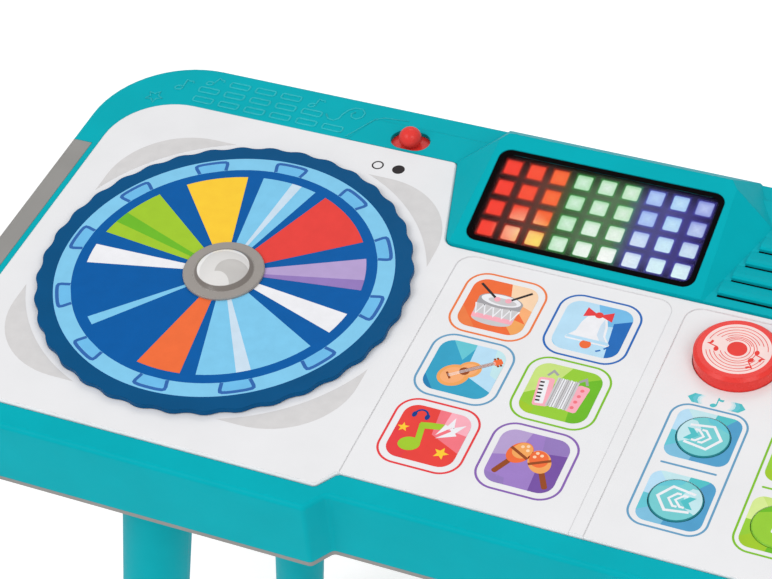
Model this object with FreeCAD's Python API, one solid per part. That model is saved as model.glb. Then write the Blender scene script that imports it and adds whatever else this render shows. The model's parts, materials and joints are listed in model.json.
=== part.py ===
import FreeCAD, Part
import math
import os
from FreeCAD import Vector

# Musical activity table: a flat play console on four splayed legs.
# Millimetres. X is right, Y is back, Z is up. Origin on the floor, under the middle of the console.

# Console
console_width = 648.4
console_depth = 256.6
console_corner = 50.0
table_height = 430.0
shell_wall = 2.6
shell_height = 36.0
shell_edge_round = 2.2
deck = 2.5
panel_thickness = 3.5
panel_proud = 1.3
panel_gap = 0.3
panel_ledge = 7.0

# White control panel outline
panel_side_margin = 14.6
panel_back_margin = 31.1
panel_front_margin = 13.0
panel_corner = 34.0
notch_depth = 9.8
notch_slant = 6.6
notch_clearance = 0.2
notch_round = 3.0
section_share = 0.1604
section_gap = 6.2
section_sink = 0.4
section_back_gap = 3.5
section_corner = 8.0
panel_edge_round = 0.8
post_radius = 3.0

# Raised housing for the display and the speaker
housing_back_margin = 19.5
housing_depth = 67.3
housing_tilt = 11.7
housing_front_rise = 1.2
cheek_front_margin = 9.9
cheek_flare = 16.0
cheek_slope = 0.66
cheek_end_slope = 1.0
cheek_end_inset = 10.3
cheek_corner = 6.0
housing_edge_round = 2.0
apron_rise = 0.6
apron_width = 59.0
apron_slant = 8.3
apron_back_margin = 12.6

# Display
window_side_margin = 7.2
window_height = 55.0
window_corner = 6.0
window_thickness = 1.2
window_sink = 0.3
window_lip = 2.0
window_gap = 0.15
display_share = 0.4625
display_back = 31.5
light_columns = 9
light_rows = 4
light_side_margin = 2.5
light_pitch_y = 12.2
light_width = 8.6
light_depth = 9.4
light_length = 5.0
mask_thickness = 4.0
mask_gap = 0.2
board_thickness = 1.6
led_size = 3.0
led_height = 1.2

# Speaker
grille_rise = 0.6
speaker_radius = 26.0
speaker_share = 0.563
speaker_back = 30.0
speaker_depth = 18.0
slot_count = 5
slot_width = 1.5
slot_pitch = 11.1
slot_first_back = 5.8
slot_margin = 2.4
rib_height = 1.8
rib_back_height = 0.3
rib_crown = 1.1

# Turntable
disc_shift = 1.85
disc_y = -11.3
disc_radius = 88.0
scallops = 36
scallop_height = 1.3
disc_thickness = 2.4
disc_lift = 0.6
disc_edge_round = 0.6
face_radius = 80.0
face_thickness = 0.4
hub_ring_radius = 19.2
hub_ring_height = 1.4
hub_bevel = 0.4
hub_cap_radius = 14.6
hub_cap_height = 4.6
spindle_radius = 4.0
spindle_fit = 0.05
bush_radius = 7.0
bush_flange_radius = 10.0
bush_flange = 1.5
bush_length = 12.0
encoder_radius = 17.0
encoder_thickness = 1.6
encoder_slots = 12
spindle_tail = 6.0

# Push buttons
button_gap = 0.35
button_radius = 11.6
button_column_share = 0.287
button_upper_share = 0.4853
button_lower_share = 0.7306
button_proud = 0.5
button_travel = 2.0
song_share = 0.1846
song_back_share = 0.169
song_proud = 7.0
song_travel = 3.0
flange_width = 2.0
flange_thickness = 1.2
button_wall = 1.8
button_bevel = 0.3
plunger_radius = 3.0
button_board_drop = 14.0

# Piano keys
key_count = 5
key_width = 30.0
key_pitch = 31.5
key_length = 96.0
key_front_margin = 40.3
key_proud = 6.0
key_below = 5.0
key_wall = 2.0
key_angle = 2.5
key_gap = 0.75
key_round = 2.5
key_bevel = 1.2
key_rod_radius = 1.5
key_rod_fit = 0.05
key_rod_drop = 6.0
key_rod_back = 6.5
key_ear = 5.0
key_ear_offset = 10.0
key_ear_height = 7.0
key_block_half = 6.0
key_lip = 2.5
key_lip_thickness = 1.5
key_plunger_y = 20.0
stop_gap = 0.1
switch_height = 1.2

# Power switch
switch_side = 28.1
switch_back_margin = 22.4
switch_slot_length = 20.0
switch_slot_width = 13.6
switch_ball_radius = 5.6
switch_travel = 4.0
switch_plate = 2.0
switch_plate_gap = 0.2
switch_plate_length = 29.0
switch_plate_width = 15.0
switch_skin = 1.6
switch_tongue = 4.0
switch_body_height = 8.0
switch_strap = 1.5

# Side grips
grip_half_length = 56.7
grip_depth = 11.2
grip_height = 31.0
grip_gap = 0.15

# Bottom tray
tray_height = 5.2
tray_bevel = 2.8
tray_floor = 2.4
tray_gap = 0.3

# Batteries
cell_radius = 7.1
cell_length = 50.0
cell_count = 3
cell_pitch = 15.2
battery_x = 0.0
battery_y = -30.0
battery_wall = 1.8
battery_clearance = 2.4
door_thickness = 2.2
door_gap = 0.4
door_rebate = 3.0
door_screw_radius = 1.6
door_screw_head = 3.0
door_tab = 6.0
door_lip = 2.5
door_lip_thickness = 1.2
contact_thickness = 0.5
contact_width = 9.0
contact_dimple = 2.5

# Legs
leg_inset_x = 108.2
leg_inset_y = 50.3
leg_splay_x = 8.0
leg_splay_y = 4.0
leg_top_radius = 17.0
leg_foot_radius = 14.0
leg_spigot_radius = 14.0
leg_spigot_length = 26.0
leg_fit = 0.2
leg_bore_radius = 11.5
leg_end = 20.0
foot_reach = 10.0
socket_wall = 2.6
socket_skirt = 12.0
foot_radius = 17.0
foot_height = 12.0
foot_wall = 2.0

# Screws
screw_radius = 1.5
screw_head_radius = 3.0
screw_head_height = 2.0
screw_length = 16.0
boss_radius = 4.0
screw_corner_margin = 89.2
screw_front_side = 42.7
screw_margin = 16.3
main_board_x = 85.0
main_board_y = -20.0
main_board_width = 84.0
main_board_depth = 62.0
main_board_lift = 6.0
pad_board_margin = 8.0
pad_board_back_gap = 6.5
button_board_margin = 6.0
button_board_back_gap = 1.0
board_front_gap = 33.8
key_board_depth = 24.0

# Reach of a cut that goes right through
cut_reach = 40.0

# Heights that follow from the sizes above
panel_top = table_height
panel_under = panel_top - panel_thickness
rim_top = panel_top - panel_proud
grille_top = panel_top + grille_rise
shell_bottom = rim_top - shell_height
ledge_under = panel_under - deck
tray_under = shell_bottom - tray_height
tray_inside = tray_under + tray_floor
board_top = panel_under - button_board_drop

# Places across that follow from the width
half_width = console_width / 2
leg_x = half_width - leg_inset_x
section_width = console_width * section_share
section_far = section_gap / 2 + section_width
section_middle = (section_gap / 2 + section_far) / 2
notch_half_width = section_far + notch_clearance
cheek_front_half = notch_half_width + cheek_front_margin
cheek_back_half = cheek_front_half + cheek_flare
display_x = -cheek_front_half * display_share
display_half = cheek_front_half + display_x
window_width = 2 * (display_half - window_side_margin)
light_pitch_x = (window_width - 2 * light_side_margin) / light_columns
speaker_x = cheek_front_half * speaker_share
key_middle_x = (half_width - panel_side_margin + section_far) / 2 - disc_shift
disc_x = -key_middle_x
button_column_left = section_gap / 2 + section_width * button_column_share
button_column_right = section_far - section_width * button_column_share
song_radius = section_width * song_share
switch_x = -cheek_back_half - switch_side
apron_left = cheek_back_half + apron_width
apron_left_back = apron_left - apron_slant
screw_corner_x = half_width - screw_corner_margin
screw_front_x = notch_half_width + screw_front_side
pad_board_x = -section_middle
pad_board_width = section_width - 2 * pad_board_margin
button_board_width = section_width - 2 * button_board_margin

# Places front to back that follow from the depth
half_depth = console_depth / 2
leg_y = half_depth - leg_inset_y
housing_back_y = half_depth - housing_back_margin
housing_front_y = housing_back_y - housing_depth
apron_back_y = half_depth - apron_back_margin
section_back_y = housing_front_y - section_back_gap
display_y = housing_front_y + display_back
speaker_y = housing_front_y + speaker_back
slot_first_y = housing_front_y + slot_first_back
section_depth = section_back_y + half_depth - panel_front_margin
button_upper_y = section_back_y - section_depth * button_upper_share
button_lower_y = section_back_y - section_depth * button_lower_share
song_y = section_back_y - section_depth * song_back_share
key_front_y = -half_depth + key_front_margin
switch_y = half_depth - switch_back_margin
screw_y = half_depth - screw_margin
board_front_y = -half_depth + board_front_gap
pad_board_back_y = section_back_y - pad_board_back_gap
pad_board_y = (board_front_y + pad_board_back_y) / 2
pad_board_depth = pad_board_back_y - board_front_y
button_board_back_y = section_back_y - button_board_back_gap
button_board_y = (board_front_y + button_board_back_y) / 2
button_board_depth = button_board_back_y - board_front_y
tilt = math.radians(housing_tilt)

UP = Vector(0, 0, 1)
parts = {}


def rounded_wire(corners, z=0.0):
    """Closed flat wire through (x, y, radius) corners, each rounded by its radius."""
    count = len(corners)
    starts = []
    ends = []
    middles = []
    for i in range(count):
        before = Vector(corners[i - 1][0], corners[i - 1][1], z)
        here = Vector(corners[i][0], corners[i][1], z)
        after = Vector(corners[(i + 1) % count][0], corners[(i + 1) % count][1], z)
        radius = corners[i][2]
        back = (before - here).normalize()
        ahead = (after - here).normalize()
        half = back.getAngle(ahead) / 2
        reach = radius / math.tan(half)
        starts.append(here + back * reach)
        ends.append(here + ahead * reach)
        if radius > 0:
            inward = (back + ahead).normalize()
            middles.append(here + inward * (radius / math.sin(half) - radius))
        else:
            middles.append(None)
    edges = []
    for i in range(count):
        if middles[i] is not None:
            edges.append(Part.Arc(starts[i], middles[i], ends[i]).toShape())
        step = starts[(i + 1) % count] - ends[i]
        if step.Length > 1e-6:
            edges.append(Part.LineSegment(ends[i], starts[(i + 1) % count]).toShape())
    return Part.Wire(edges)


def prism(corners, low, high):
    """Upright prism on a rounded outline."""
    return Part.Face(rounded_wire(corners, low)).extrude(Vector(0, 0, high - low))


def shrunk_prism(corners, inset, low, high):
    """Upright prism on a rounded outline moved inward by an inset, or outward if it is negative."""
    face = Part.Face(rounded_wire(corners, low))
    return face.makeOffset2D(-inset).extrude(Vector(0, 0, high - low))


def rounded_box(width, depth, radius, low, high, x=0.0, y=0.0):
    """Upright box with rounded upright edges, centred on x and y."""
    w = width / 2
    d = depth / 2
    outline = [(x - w, y - d, radius), (x + w, y - d, radius), (x + w, y + d, radius), (x - w, y + d, radius)]
    return prism(outline, low, high)


def box(x0, x1, y0, y1, z0, z1):
    return Part.makeBox(x1 - x0, y1 - y0, z1 - z0, Vector(x0, y0, z0))


def cylinder(radius, low, high, x=0.0, y=0.0):
    return Part.makeCylinder(radius, high - low, Vector(x, y, low))


def ring(inner, outer, low, high, x=0.0, y=0.0):
    return cylinder(outer, low, high, x, y).cut(cylinder(inner, low, high, x, y))


def fuse(shapes):
    solid = shapes[0]
    for shape in shapes[1:]:
        solid = solid.fuse(shape)
    return solid.removeSplitter()


def level_edges(shape, height):
    edges = []
    for edge in shape.Edges:
        bounds = edge.BoundBox
        if abs(bounds.ZMin - height) < 1e-3 and abs(bounds.ZMax - height) < 1e-3:
            edges.append(edge)
    return edges


def round_level(shape, height, radius):
    """Fillet every edge that lies at one height."""
    return shape.makeFillet(radius, level_edges(shape, height))


def bevel_level(shape, height, size):
    """Chamfer every edge that lies at one height."""
    return shape.makeChamfer(size, level_edges(shape, height))


def on_housing(shape, x, y, drop=0.0):
    """Place a shape, made flat at z = 0, on the sloping housing top above (x, y)."""
    placed = shape.copy()
    height = housing_surface(y)
    normal = Vector(0, -math.sin(tilt), math.cos(tilt))
    base = Vector(x, y, height) - normal * drop
    placed.Placement = FreeCAD.Placement(base, FreeCAD.Rotation(Vector(1, 0, 0), housing_tilt))
    return placed


def housing_surface(y):
    """Height of the sloping housing top at a distance back."""
    return panel_top + housing_front_rise + (y - housing_front_y) * math.tan(tilt)


def console_outline():
    """Plan outline of the teal shell, with its front edge set back along the middle."""
    step_x = notch_half_width + notch_slant
    front = -half_depth
    inner = front + notch_depth
    return [
        (-half_width, front, console_corner),
        (-step_x, front, notch_round),
        (-notch_half_width, inner, notch_round),
        (notch_half_width, inner, notch_round),
        (step_x, front, notch_round),
        (half_width, front, console_corner),
        (half_width, half_depth, console_corner),
        (-half_width, half_depth, console_corner),
    ]


def panel_outline():
    """Plan outline of the white panel, cut away round the raised housing and set back in front."""
    side = half_width - panel_side_margin
    back = half_depth - panel_back_margin
    front = -half_depth + panel_front_margin
    inner = front + notch_depth
    step_x = notch_half_width + notch_slant
    left = [
        (-side, front, panel_corner),
        (-step_x, front, notch_round),
        (-notch_half_width, inner, notch_round),
    ]
    right = [
        (notch_half_width, inner, notch_round),
        (step_x, front, notch_round),
        (side, front, panel_corner),
        (side, back, panel_corner),
        (cheek_back_half, back, notch_round),
        (cheek_front_half, housing_front_y, cheek_corner),
    ]
    end = [
        (-cheek_front_half, housing_front_y, cheek_corner),
        (-cheek_back_half, back, notch_round),
        (-side, back, panel_corner),
    ]
    return left + right + end


def foot_cutter(start, end, slope, inset):
    """Everything outside a slope that rises inward from a foot line, moved in by an inset."""
    along = (end - start).normalize()
    inward = Vector(along.y, -along.x, 0)
    reach = half_depth / 2
    base = start - along * reach + inward * inset * math.hypot(1, 1 / slope)
    points = [
        base - UP * reach * slope - inward * reach,
        base + UP * reach * slope + inward * reach,
        base + UP * reach * slope - inward * reach,
    ]
    face = Part.Face(Part.makePolygon(points + points[:1]))
    return face.extrude(along * (2 * reach + half_depth))


def cheek_foot(y):
    """Half the width of the panel's cut-out at a distance back, where the left cheek stands."""
    back = half_depth - panel_back_margin
    share = (y - housing_front_y) / (back - housing_front_y)
    return cheek_front_half + (cheek_back_half - cheek_front_half) * share


def cheek_cutters(inset):
    """The slanted left cheek and its turned-in back end."""
    back = half_depth - panel_back_margin
    front_foot = Vector(-cheek_front_half, housing_front_y, panel_top)
    back_foot = Vector(-cheek_back_half, back, panel_top)
    end_foot = Vector(-cheek_back_half + cheek_end_inset, apron_back_y, panel_top)
    return [
        foot_cutter(front_foot, back_foot, cheek_slope, inset),
        foot_cutter(back_foot, end_foot, cheek_end_slope, inset),
    ]


def raised_housing(inset, low):
    """Wedge that carries the display, or its inside when there is an inset."""
    front = housing_front_y + inset
    back = housing_back_y - inset
    foot_back = half_depth - inset * 1.5
    profile = [
        Vector(0, front, low),
        Vector(0, front, housing_surface(front) - inset),
        Vector(0, back, housing_surface(back) - inset),
        Vector(0, foot_back, rim_top - inset),
        Vector(0, foot_back, low),
    ]
    face = Part.Face(Part.makePolygon(profile + profile[:1]))
    reach = cheek_back_half + display_x + cheek_end_inset
    face.translate(Vector(display_x - reach, 0, 0))
    wedge = face.extrude(Vector(2 * reach, 0, 0))
    for cutter in cheek_cutters(inset):
        wedge = wedge.cut(cutter).cut(cutter.mirror(Vector(display_x, 0, 0), Vector(1, 0, 0)))
    return wedge


def grille_outline():
    """Plan outline of the flat deck over the speaker, right of the display."""
    back = half_depth - panel_back_margin
    return [
        (display_x, housing_front_y, 0.0),
        (cheek_front_half, housing_front_y, 0.0),
        (cheek_back_half, back, 0.0),
        (cheek_back_half - cheek_end_inset, apron_back_y, 0.0),
        (display_x, apron_back_y, 0.0),
    ]


def button_places():
    """Every round button with its name, place, radius, height and travel."""
    return [
        ("next_button", button_column_left, button_upper_y, button_radius, button_proud, button_travel),
        ("previous_button", button_column_left, button_lower_y, button_radius, button_proud, button_travel),
        ("louder_button", button_column_right, button_upper_y, button_radius, button_proud, button_travel),
        ("quieter_button", button_column_right, button_lower_y, button_radius, button_proud, button_travel),
        ("record_button", button_column_left, song_y, song_radius, song_proud, song_travel),
        ("melody_button", button_column_right, song_y, song_radius, song_proud, song_travel),
    ]


def screw_places():
    places = []
    for side in (-1, 1):
        places.append((side * screw_corner_x, -screw_y))
        places.append((side * screw_front_x, -screw_y))
        places.append((side * screw_corner_x, screw_y))
    return places


def leg_places():
    return [
        ("leg_front_left", -1, -1),
        ("leg_front_right", 1, -1),
        ("leg_back_left", -1, 1),
        ("leg_back_right", 1, 1),
    ]


def leg_placement(side_x, side_y):
    """Frame at the middle of a leg's shoulder, with Z up along the leg."""
    lean_x = math.tan(math.radians(leg_splay_x)) * side_x
    lean_y = math.tan(math.radians(leg_splay_y)) * side_y
    direction = Vector(-lean_x, -lean_y, 1).normalize()
    base = Vector(leg_x * side_x, leg_y * side_y, tray_under - socket_skirt)
    return FreeCAD.Placement(base, FreeCAD.Rotation(UP, direction))


def make_top_housing():
    shell = prism(console_outline(), shell_bottom, rim_top)
    shell = round_level(shell, rim_top, shell_edge_round)
    back = half_depth - panel_back_margin
    apron = prism([
        (-apron_left, back - 1, 0.0),
        (-cheek_back_half, back - 1, 0.0),
        (-cheek_front_half, back - 1, 0.0),
        (-cheek_front_half, apron_back_y, 0.0),
        (-apron_left_back, apron_back_y, 4.0),
    ], rim_top - 1, rim_top + apron_rise)
    shell = shell.fuse(apron)
    shell = shell.fuse(prism(grille_outline(), rim_top - 1, grille_top))
    shell = shell.fuse(raised_housing(0.0, rim_top - 1))
    for rib in grille_ribs():
        shell = shell.fuse(rib)
    shell = shell.cut(shrunk_prism(panel_outline(), -panel_gap, panel_under, panel_top + cut_reach))
    inside = shrunk_prism(console_outline(), shell_wall, shell_bottom, ledge_under)
    shell = shell.cut(inside)
    shell = shell.cut(shrunk_prism(panel_outline(), panel_ledge, ledge_under, panel_top))
    shell = shell.cut(raised_housing(shell_wall, ledge_under - 1))
    shell = shell.cut(shrunk_prism(grille_outline(), shell_wall, ledge_under - 1, grille_top - shell_wall))
    recess = rounded_box(window_width, window_height, window_corner, -window_thickness - window_sink, 5)
    opening = rounded_box(
        window_width - 2 * window_lip, window_height - 2 * window_lip, window_corner - window_lip, -cut_reach / 2, 5)
    shell = shell.cut(on_housing(recess, display_x, display_y))
    shell = shell.cut(on_housing(opening, display_x, display_y))
    for slot in speaker_slots():
        shell = shell.cut(slot)
    slot_end = switch_slot_width / 2 - 0.01
    slot = rounded_box(
        switch_slot_length, switch_slot_width, slot_end, ledge_under - 1, panel_top + 5, switch_x, switch_y)
    guide_length = switch_plate_length + 2 * switch_travel + 2 * switch_plate_gap
    guide_width = switch_plate_width + 2 * switch_plate_gap
    guide = rounded_box(
        guide_length, guide_width, 1.0, ledge_under - 1, rim_top - switch_skin, switch_x, switch_y)
    shell = shell.cut(slot).cut(guide)
    for side in (-1, 1):
        outer = side * (half_width + 1)
        inner = side * (half_width - grip_depth)
        pocket = box(
            min(outer, inner), max(outer, inner), -grip_half_length, grip_half_length,
            rim_top - grip_height, rim_top + 1)
        backing = box(
            min(inner, inner - side * shell_wall), max(inner, inner - side * shell_wall),
            -grip_half_length - shell_wall, grip_half_length + shell_wall, shell_bottom, ledge_under + 0.5)
        floor = box(
            min(side * half_width, inner), max(side * half_width, inner),
            -grip_half_length - shell_wall, grip_half_length + shell_wall,
            shell_bottom, rim_top - grip_height)
        shell = shell.fuse(backing.fuse(floor)).cut(pocket)
    for x, y in screw_places():
        top = ledge_under + 0.5
        boss = cylinder(boss_radius, tray_inside + tray_gap, top, x, y)
        boss = boss.cut(cylinder(screw_radius, tray_inside, tray_inside + screw_length, x, y))
        shell = shell.fuse(boss)
    return shell.removeSplitter()


def slot_rows():
    """Each speaker slot's distance back and its two ends."""
    rows = []
    for i in range(slot_count):
        y = slot_first_y + slot_pitch * i
        left = 2 * display_x + cheek_foot(y) + slot_margin
        right = cheek_foot(y) - 2 * slot_margin
        rows.append((y, left, right))
    return rows


def speaker_slots():
    slots = []
    for y, left, right in slot_rows():
        slots.append(box(left, right, y - slot_width / 2, y + slot_width / 2, ledge_under, grille_top + 1))
    return slots


def grille_ribs():
    """Louvres: each stands highest just behind its slot and falls away towards the next."""
    ribs = []
    for y, left, right in slot_rows():
        front = y + slot_width / 2
        back = front + slot_pitch - slot_width
        profile = [
            Vector(left, front, rim_top),
            Vector(left, front, grille_top + rib_height - rib_crown / 2),
            Vector(left, front + rib_crown, grille_top + rib_height),
            Vector(left, front + 3 * rib_crown, grille_top + rib_height),
            Vector(left, back, grille_top + rib_back_height),
            Vector(left, back, rim_top),
        ]
        face = Part.Face(Part.makePolygon(profile + profile[:1]))
        ribs.append(face.extrude(Vector(right - left, 0, 0)))
    return ribs


def make_bottom_tray():
    outline = console_outline()
    tray = bevel_level(prism(outline, tray_under, shell_bottom), tray_under, tray_bevel)
    tray = tray.cut(shrunk_prism(outline, tray_bevel + tray_floor, tray_inside, shell_bottom + 1))
    lip_inset = shell_wall + tray_gap
    lip = shrunk_prism(outline, lip_inset, shell_bottom, shell_bottom + 4)
    lip = lip.cut(shrunk_prism(outline, lip_inset + 1.8, shell_bottom, shell_bottom + 4))
    grip_room = grip_half_length + shell_wall + tray_gap
    for side in (-1, 1):
        inner = half_width - grip_depth - shell_wall - tray_gap
        gap = box(
            min(side * inner, side * half_width), max(side * inner, side * half_width),
            -grip_room, grip_room, shell_bottom, shell_bottom + 5)
        lip = lip.cut(gap)
    tray = tray.fuse(lip)
    for name, side_x, side_y in leg_places():
        height = leg_spigot_length + leg_fit + socket_wall
        socket = Part.makeCylinder(leg_spigot_radius + leg_fit + socket_wall, height)
        skirt = Part.makeCylinder(leg_top_radius, socket_skirt + tray_floor)
        shape = socket.fuse(skirt)
        shape.Placement = leg_placement(side_x, side_y)
        tray = tray.fuse(shape)
    for name, side_x, side_y in leg_places():
        bore = Part.makeCylinder(leg_spigot_radius + leg_fit, leg_spigot_length + leg_fit)
        bore.Placement = leg_placement(side_x, side_y)
        tray = tray.cut(bore)
    tray = tray.fuse(battery_walls())
    tray = tray.cut(battery_room(0.0, tray_under - 1, battery_roof()))
    tray = tray.cut(door_shape(0.0, tray_under - 1, tray_under + door_thickness))
    screw_px, screw_py = door_screw_place()
    tray = tray.cut(cylinder(door_screw_radius, tray_under, tray_inside + 8, screw_px, screw_py))
    along, across = battery_half()
    for side in (-1, 1):
        x = battery_x + side * along * 0.6
        y = battery_y + across + door_rebate
        tray = tray.cut(box(
            x - 4, x + 4, y - 7, y + door_lip + door_gap,
            tray_under + door_thickness, tray_under + door_thickness + door_lip_thickness + 3))
    for x, y in screw_places():
        tray = tray.cut(cylinder(screw_radius + 0.2, tray_under - 1, tray_inside + 1, x, y))
        tray = tray.cut(cylinder(screw_head_radius + 0.3, tray_under - 1, tray_under + screw_head_height / 2, x, y))
    for x, y in board_posts(main_board_x, main_board_y, main_board_width, main_board_depth):
        tray = tray.fuse(square_post(x, y, tray_inside - 1, tray_inside + main_board_lift))
    return tray.removeSplitter()


def square_post(x, y, low, high):
    """Square post as thick as the round ones would be."""
    return box(x - post_radius, x + post_radius, y - post_radius, y + post_radius, low, high)


def board_posts(x, y, width, depth):
    w = width / 2 - 2 * post_radius
    d = depth / 2 - 2 * post_radius
    return [(x - w, y - d), (x + w, y - d), (x + w, y + d), (x - w, y + d)]


def battery_half():
    """Half sizes of the battery compartment inside its walls."""
    across = (cell_pitch * (cell_count - 1) + 2 * cell_radius + battery_clearance) / 2
    along = cell_length / 2 + battery_clearance + contact_thickness
    return along, across


def battery_roof():
    return tray_under + door_thickness + 2 * cell_radius + battery_clearance


def battery_room(inset, low, high):
    along, across = battery_half()
    return box(
        battery_x - along + inset, battery_x + along - inset,
        battery_y - across + inset, battery_y + across - inset, low, high)


def battery_walls():
    tall = battery_room(-battery_wall, tray_under, battery_roof() + battery_wall)
    low = door_shape(-battery_wall - door_lip, tray_under, tray_under + door_thickness + battery_wall)
    screw_px, screw_py = door_screw_place()
    boss = cylinder(boss_radius, tray_under, tray_inside + 8, screw_px, screw_py)
    return fuse([tall, low, boss])


def door_screw_place():
    along, across = battery_half()
    return battery_x, battery_y - across - door_rebate - 1.0


def door_shape(inset, low, high):
    """Battery door outline with its screw tab, grown or shrunk by an inset."""
    screw_px, screw_py = door_screw_place()
    plate = battery_room(inset - door_rebate, low, high)
    tab = cylinder(door_tab - inset, low, high, screw_px, screw_py)
    return fuse([plate, tab])


def make_battery_parts():
    along, across = battery_half()
    low = tray_under
    screw_px, screw_py = door_screw_place()
    door = door_shape(door_gap, low, low + door_thickness - 0.2)
    lip_low = low + door_thickness - 0.2
    for side in (-1, 1):
        x = battery_x + side * along * 0.6
        y = battery_y + across + door_rebate
        root = box(x - 3.5, x + 3.5, y - 6, y - door_gap, lip_low - 0.5, lip_low + door_lip_thickness + 0.4)
        lip = box(x - 3.5, x + 3.5, y - 2, y + door_lip, lip_low + 0.4, lip_low + door_lip_thickness + 0.4)
        door = door.fuse(root).fuse(lip)
    door = door.cut(cylinder(door_screw_radius + 0.2, low - 1, low + door_thickness, screw_px, screw_py))
    door = door.cut(cylinder(door_screw_head + 0.2, low - 1, low + 1.0, screw_px, screw_py))
    save("battery_door", door.removeSplitter())
    head = cylinder(door_screw_head, low + 0.1, low + 1.0, screw_px, screw_py)
    shaft = cylinder(door_screw_radius - 0.4, low + 0.1, low + door_thickness + 0.6, screw_px, screw_py)
    save("battery_door_screw", head.fuse(shaft).removeSplitter())
    cells = []
    contacts = []
    middle_z = low + door_thickness + 0.6 + cell_radius
    for i in range(cell_count):
        y = battery_y + (i - (cell_count - 1) / 2) * cell_pitch
        body = Part.makeCylinder(cell_radius, cell_length - 1.5, Vector(battery_x - cell_length / 2, y, middle_z),
                                 Vector(1, 0, 0))
        nub = Part.makeCylinder(2.6, 1.5, Vector(battery_x + cell_length / 2 - 1.5, y, middle_z), Vector(1, 0, 0))
        cells.append(body.fuse(nub))
        for side in (-1, 1):
            wall = battery_x + side * along
            inner = wall - side * contact_thickness
            tip = battery_x + side * (cell_length / 2 + 0.1)
            plate = box(
                min(wall, inner), max(wall, inner), y - contact_width / 2, y + contact_width / 2,
                middle_z - contact_width / 2, middle_z + contact_width / 2)
            dimple = box(
                min(tip, inner), max(tip, inner), y - contact_dimple, y + contact_dimple,
                middle_z - contact_dimple, middle_z + contact_dimple)
            contacts.append(plate.fuse(dimple))
    save("battery_cells", Part.makeCompound(cells))
    save("battery_contacts", Part.makeCompound(contacts))


def key_middle(i):
    return key_middle_x + (i - (key_count - 1) / 2) * key_pitch


def key_rod_place():
    """Back and up position of the rod that the keys turn on."""
    return key_front_y + key_length + key_rod_back, panel_under - key_rod_drop


def make_control_panel():
    panel = prism(panel_outline(), panel_under, panel_top)
    panel = bevel_level(panel, panel_top, panel_edge_round)
    front = -half_depth - 5
    for side in (-1, 1):
        near = side * section_gap / 2
        far = side * (section_gap / 2 + section_width)
        pocket = prism([
            (min(near, far), front, 0.0), (max(near, far), front, 0.0),
            (max(near, far), section_back_y, section_corner), (min(near, far), section_back_y, section_corner),
        ], panel_top - section_sink, panel_top + 1)
        panel = panel.cut(pocket)
    panel = panel.cut(cylinder(bush_radius, panel_under - 1, panel_top + 1, disc_x, disc_y))
    for name, x, y, radius, proud, travel in button_places():
        panel = panel.cut(cylinder(radius + button_gap, panel_under - 1, panel_top + 1, x, y))
    half = key_pitch * (key_count - 1) / 2 + key_width / 2 + key_gap
    panel = panel.cut(box(
        key_middle_x - half, key_middle_x + half, key_front_y - key_gap,
        key_front_y + key_length + key_gap, panel_under - 1, panel_top + 1))
    rod_y, rod_z = key_rod_place()
    for i in range(key_count):
        x = key_middle(i)
        block = box(x - key_block_half, x + key_block_half, rod_y - 4, rod_y + 4, rod_z - 4, panel_under)
        bore = Part.makeCylinder(
            key_rod_radius, 2 * key_block_half + 2, Vector(x - key_block_half - 1, rod_y, rod_z), Vector(1, 0, 0))
        panel = panel.fuse(block.cut(bore))
    posts = board_posts((button_column_left + button_column_right) / 2, button_board_y,
                        button_board_width, button_board_depth)
    posts += board_posts(key_middle_x, key_front_y + key_plunger_y, key_board_width(), key_board_depth)
    for x, y in posts:
        panel = panel.fuse(square_post(x, y, board_top, panel_under + 0.5))
    panel = panel.fuse(cylinder(post_radius, sensor_top(), panel_under + 0.5, disc_x + encoder_radius + 9, disc_y))
    return panel.removeSplitter()


def key_board_width():
    return key_pitch * key_count + 2 * key_lip + 8 * post_radius


def sensor_top():
    return panel_under - bush_length + 4.0


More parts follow.
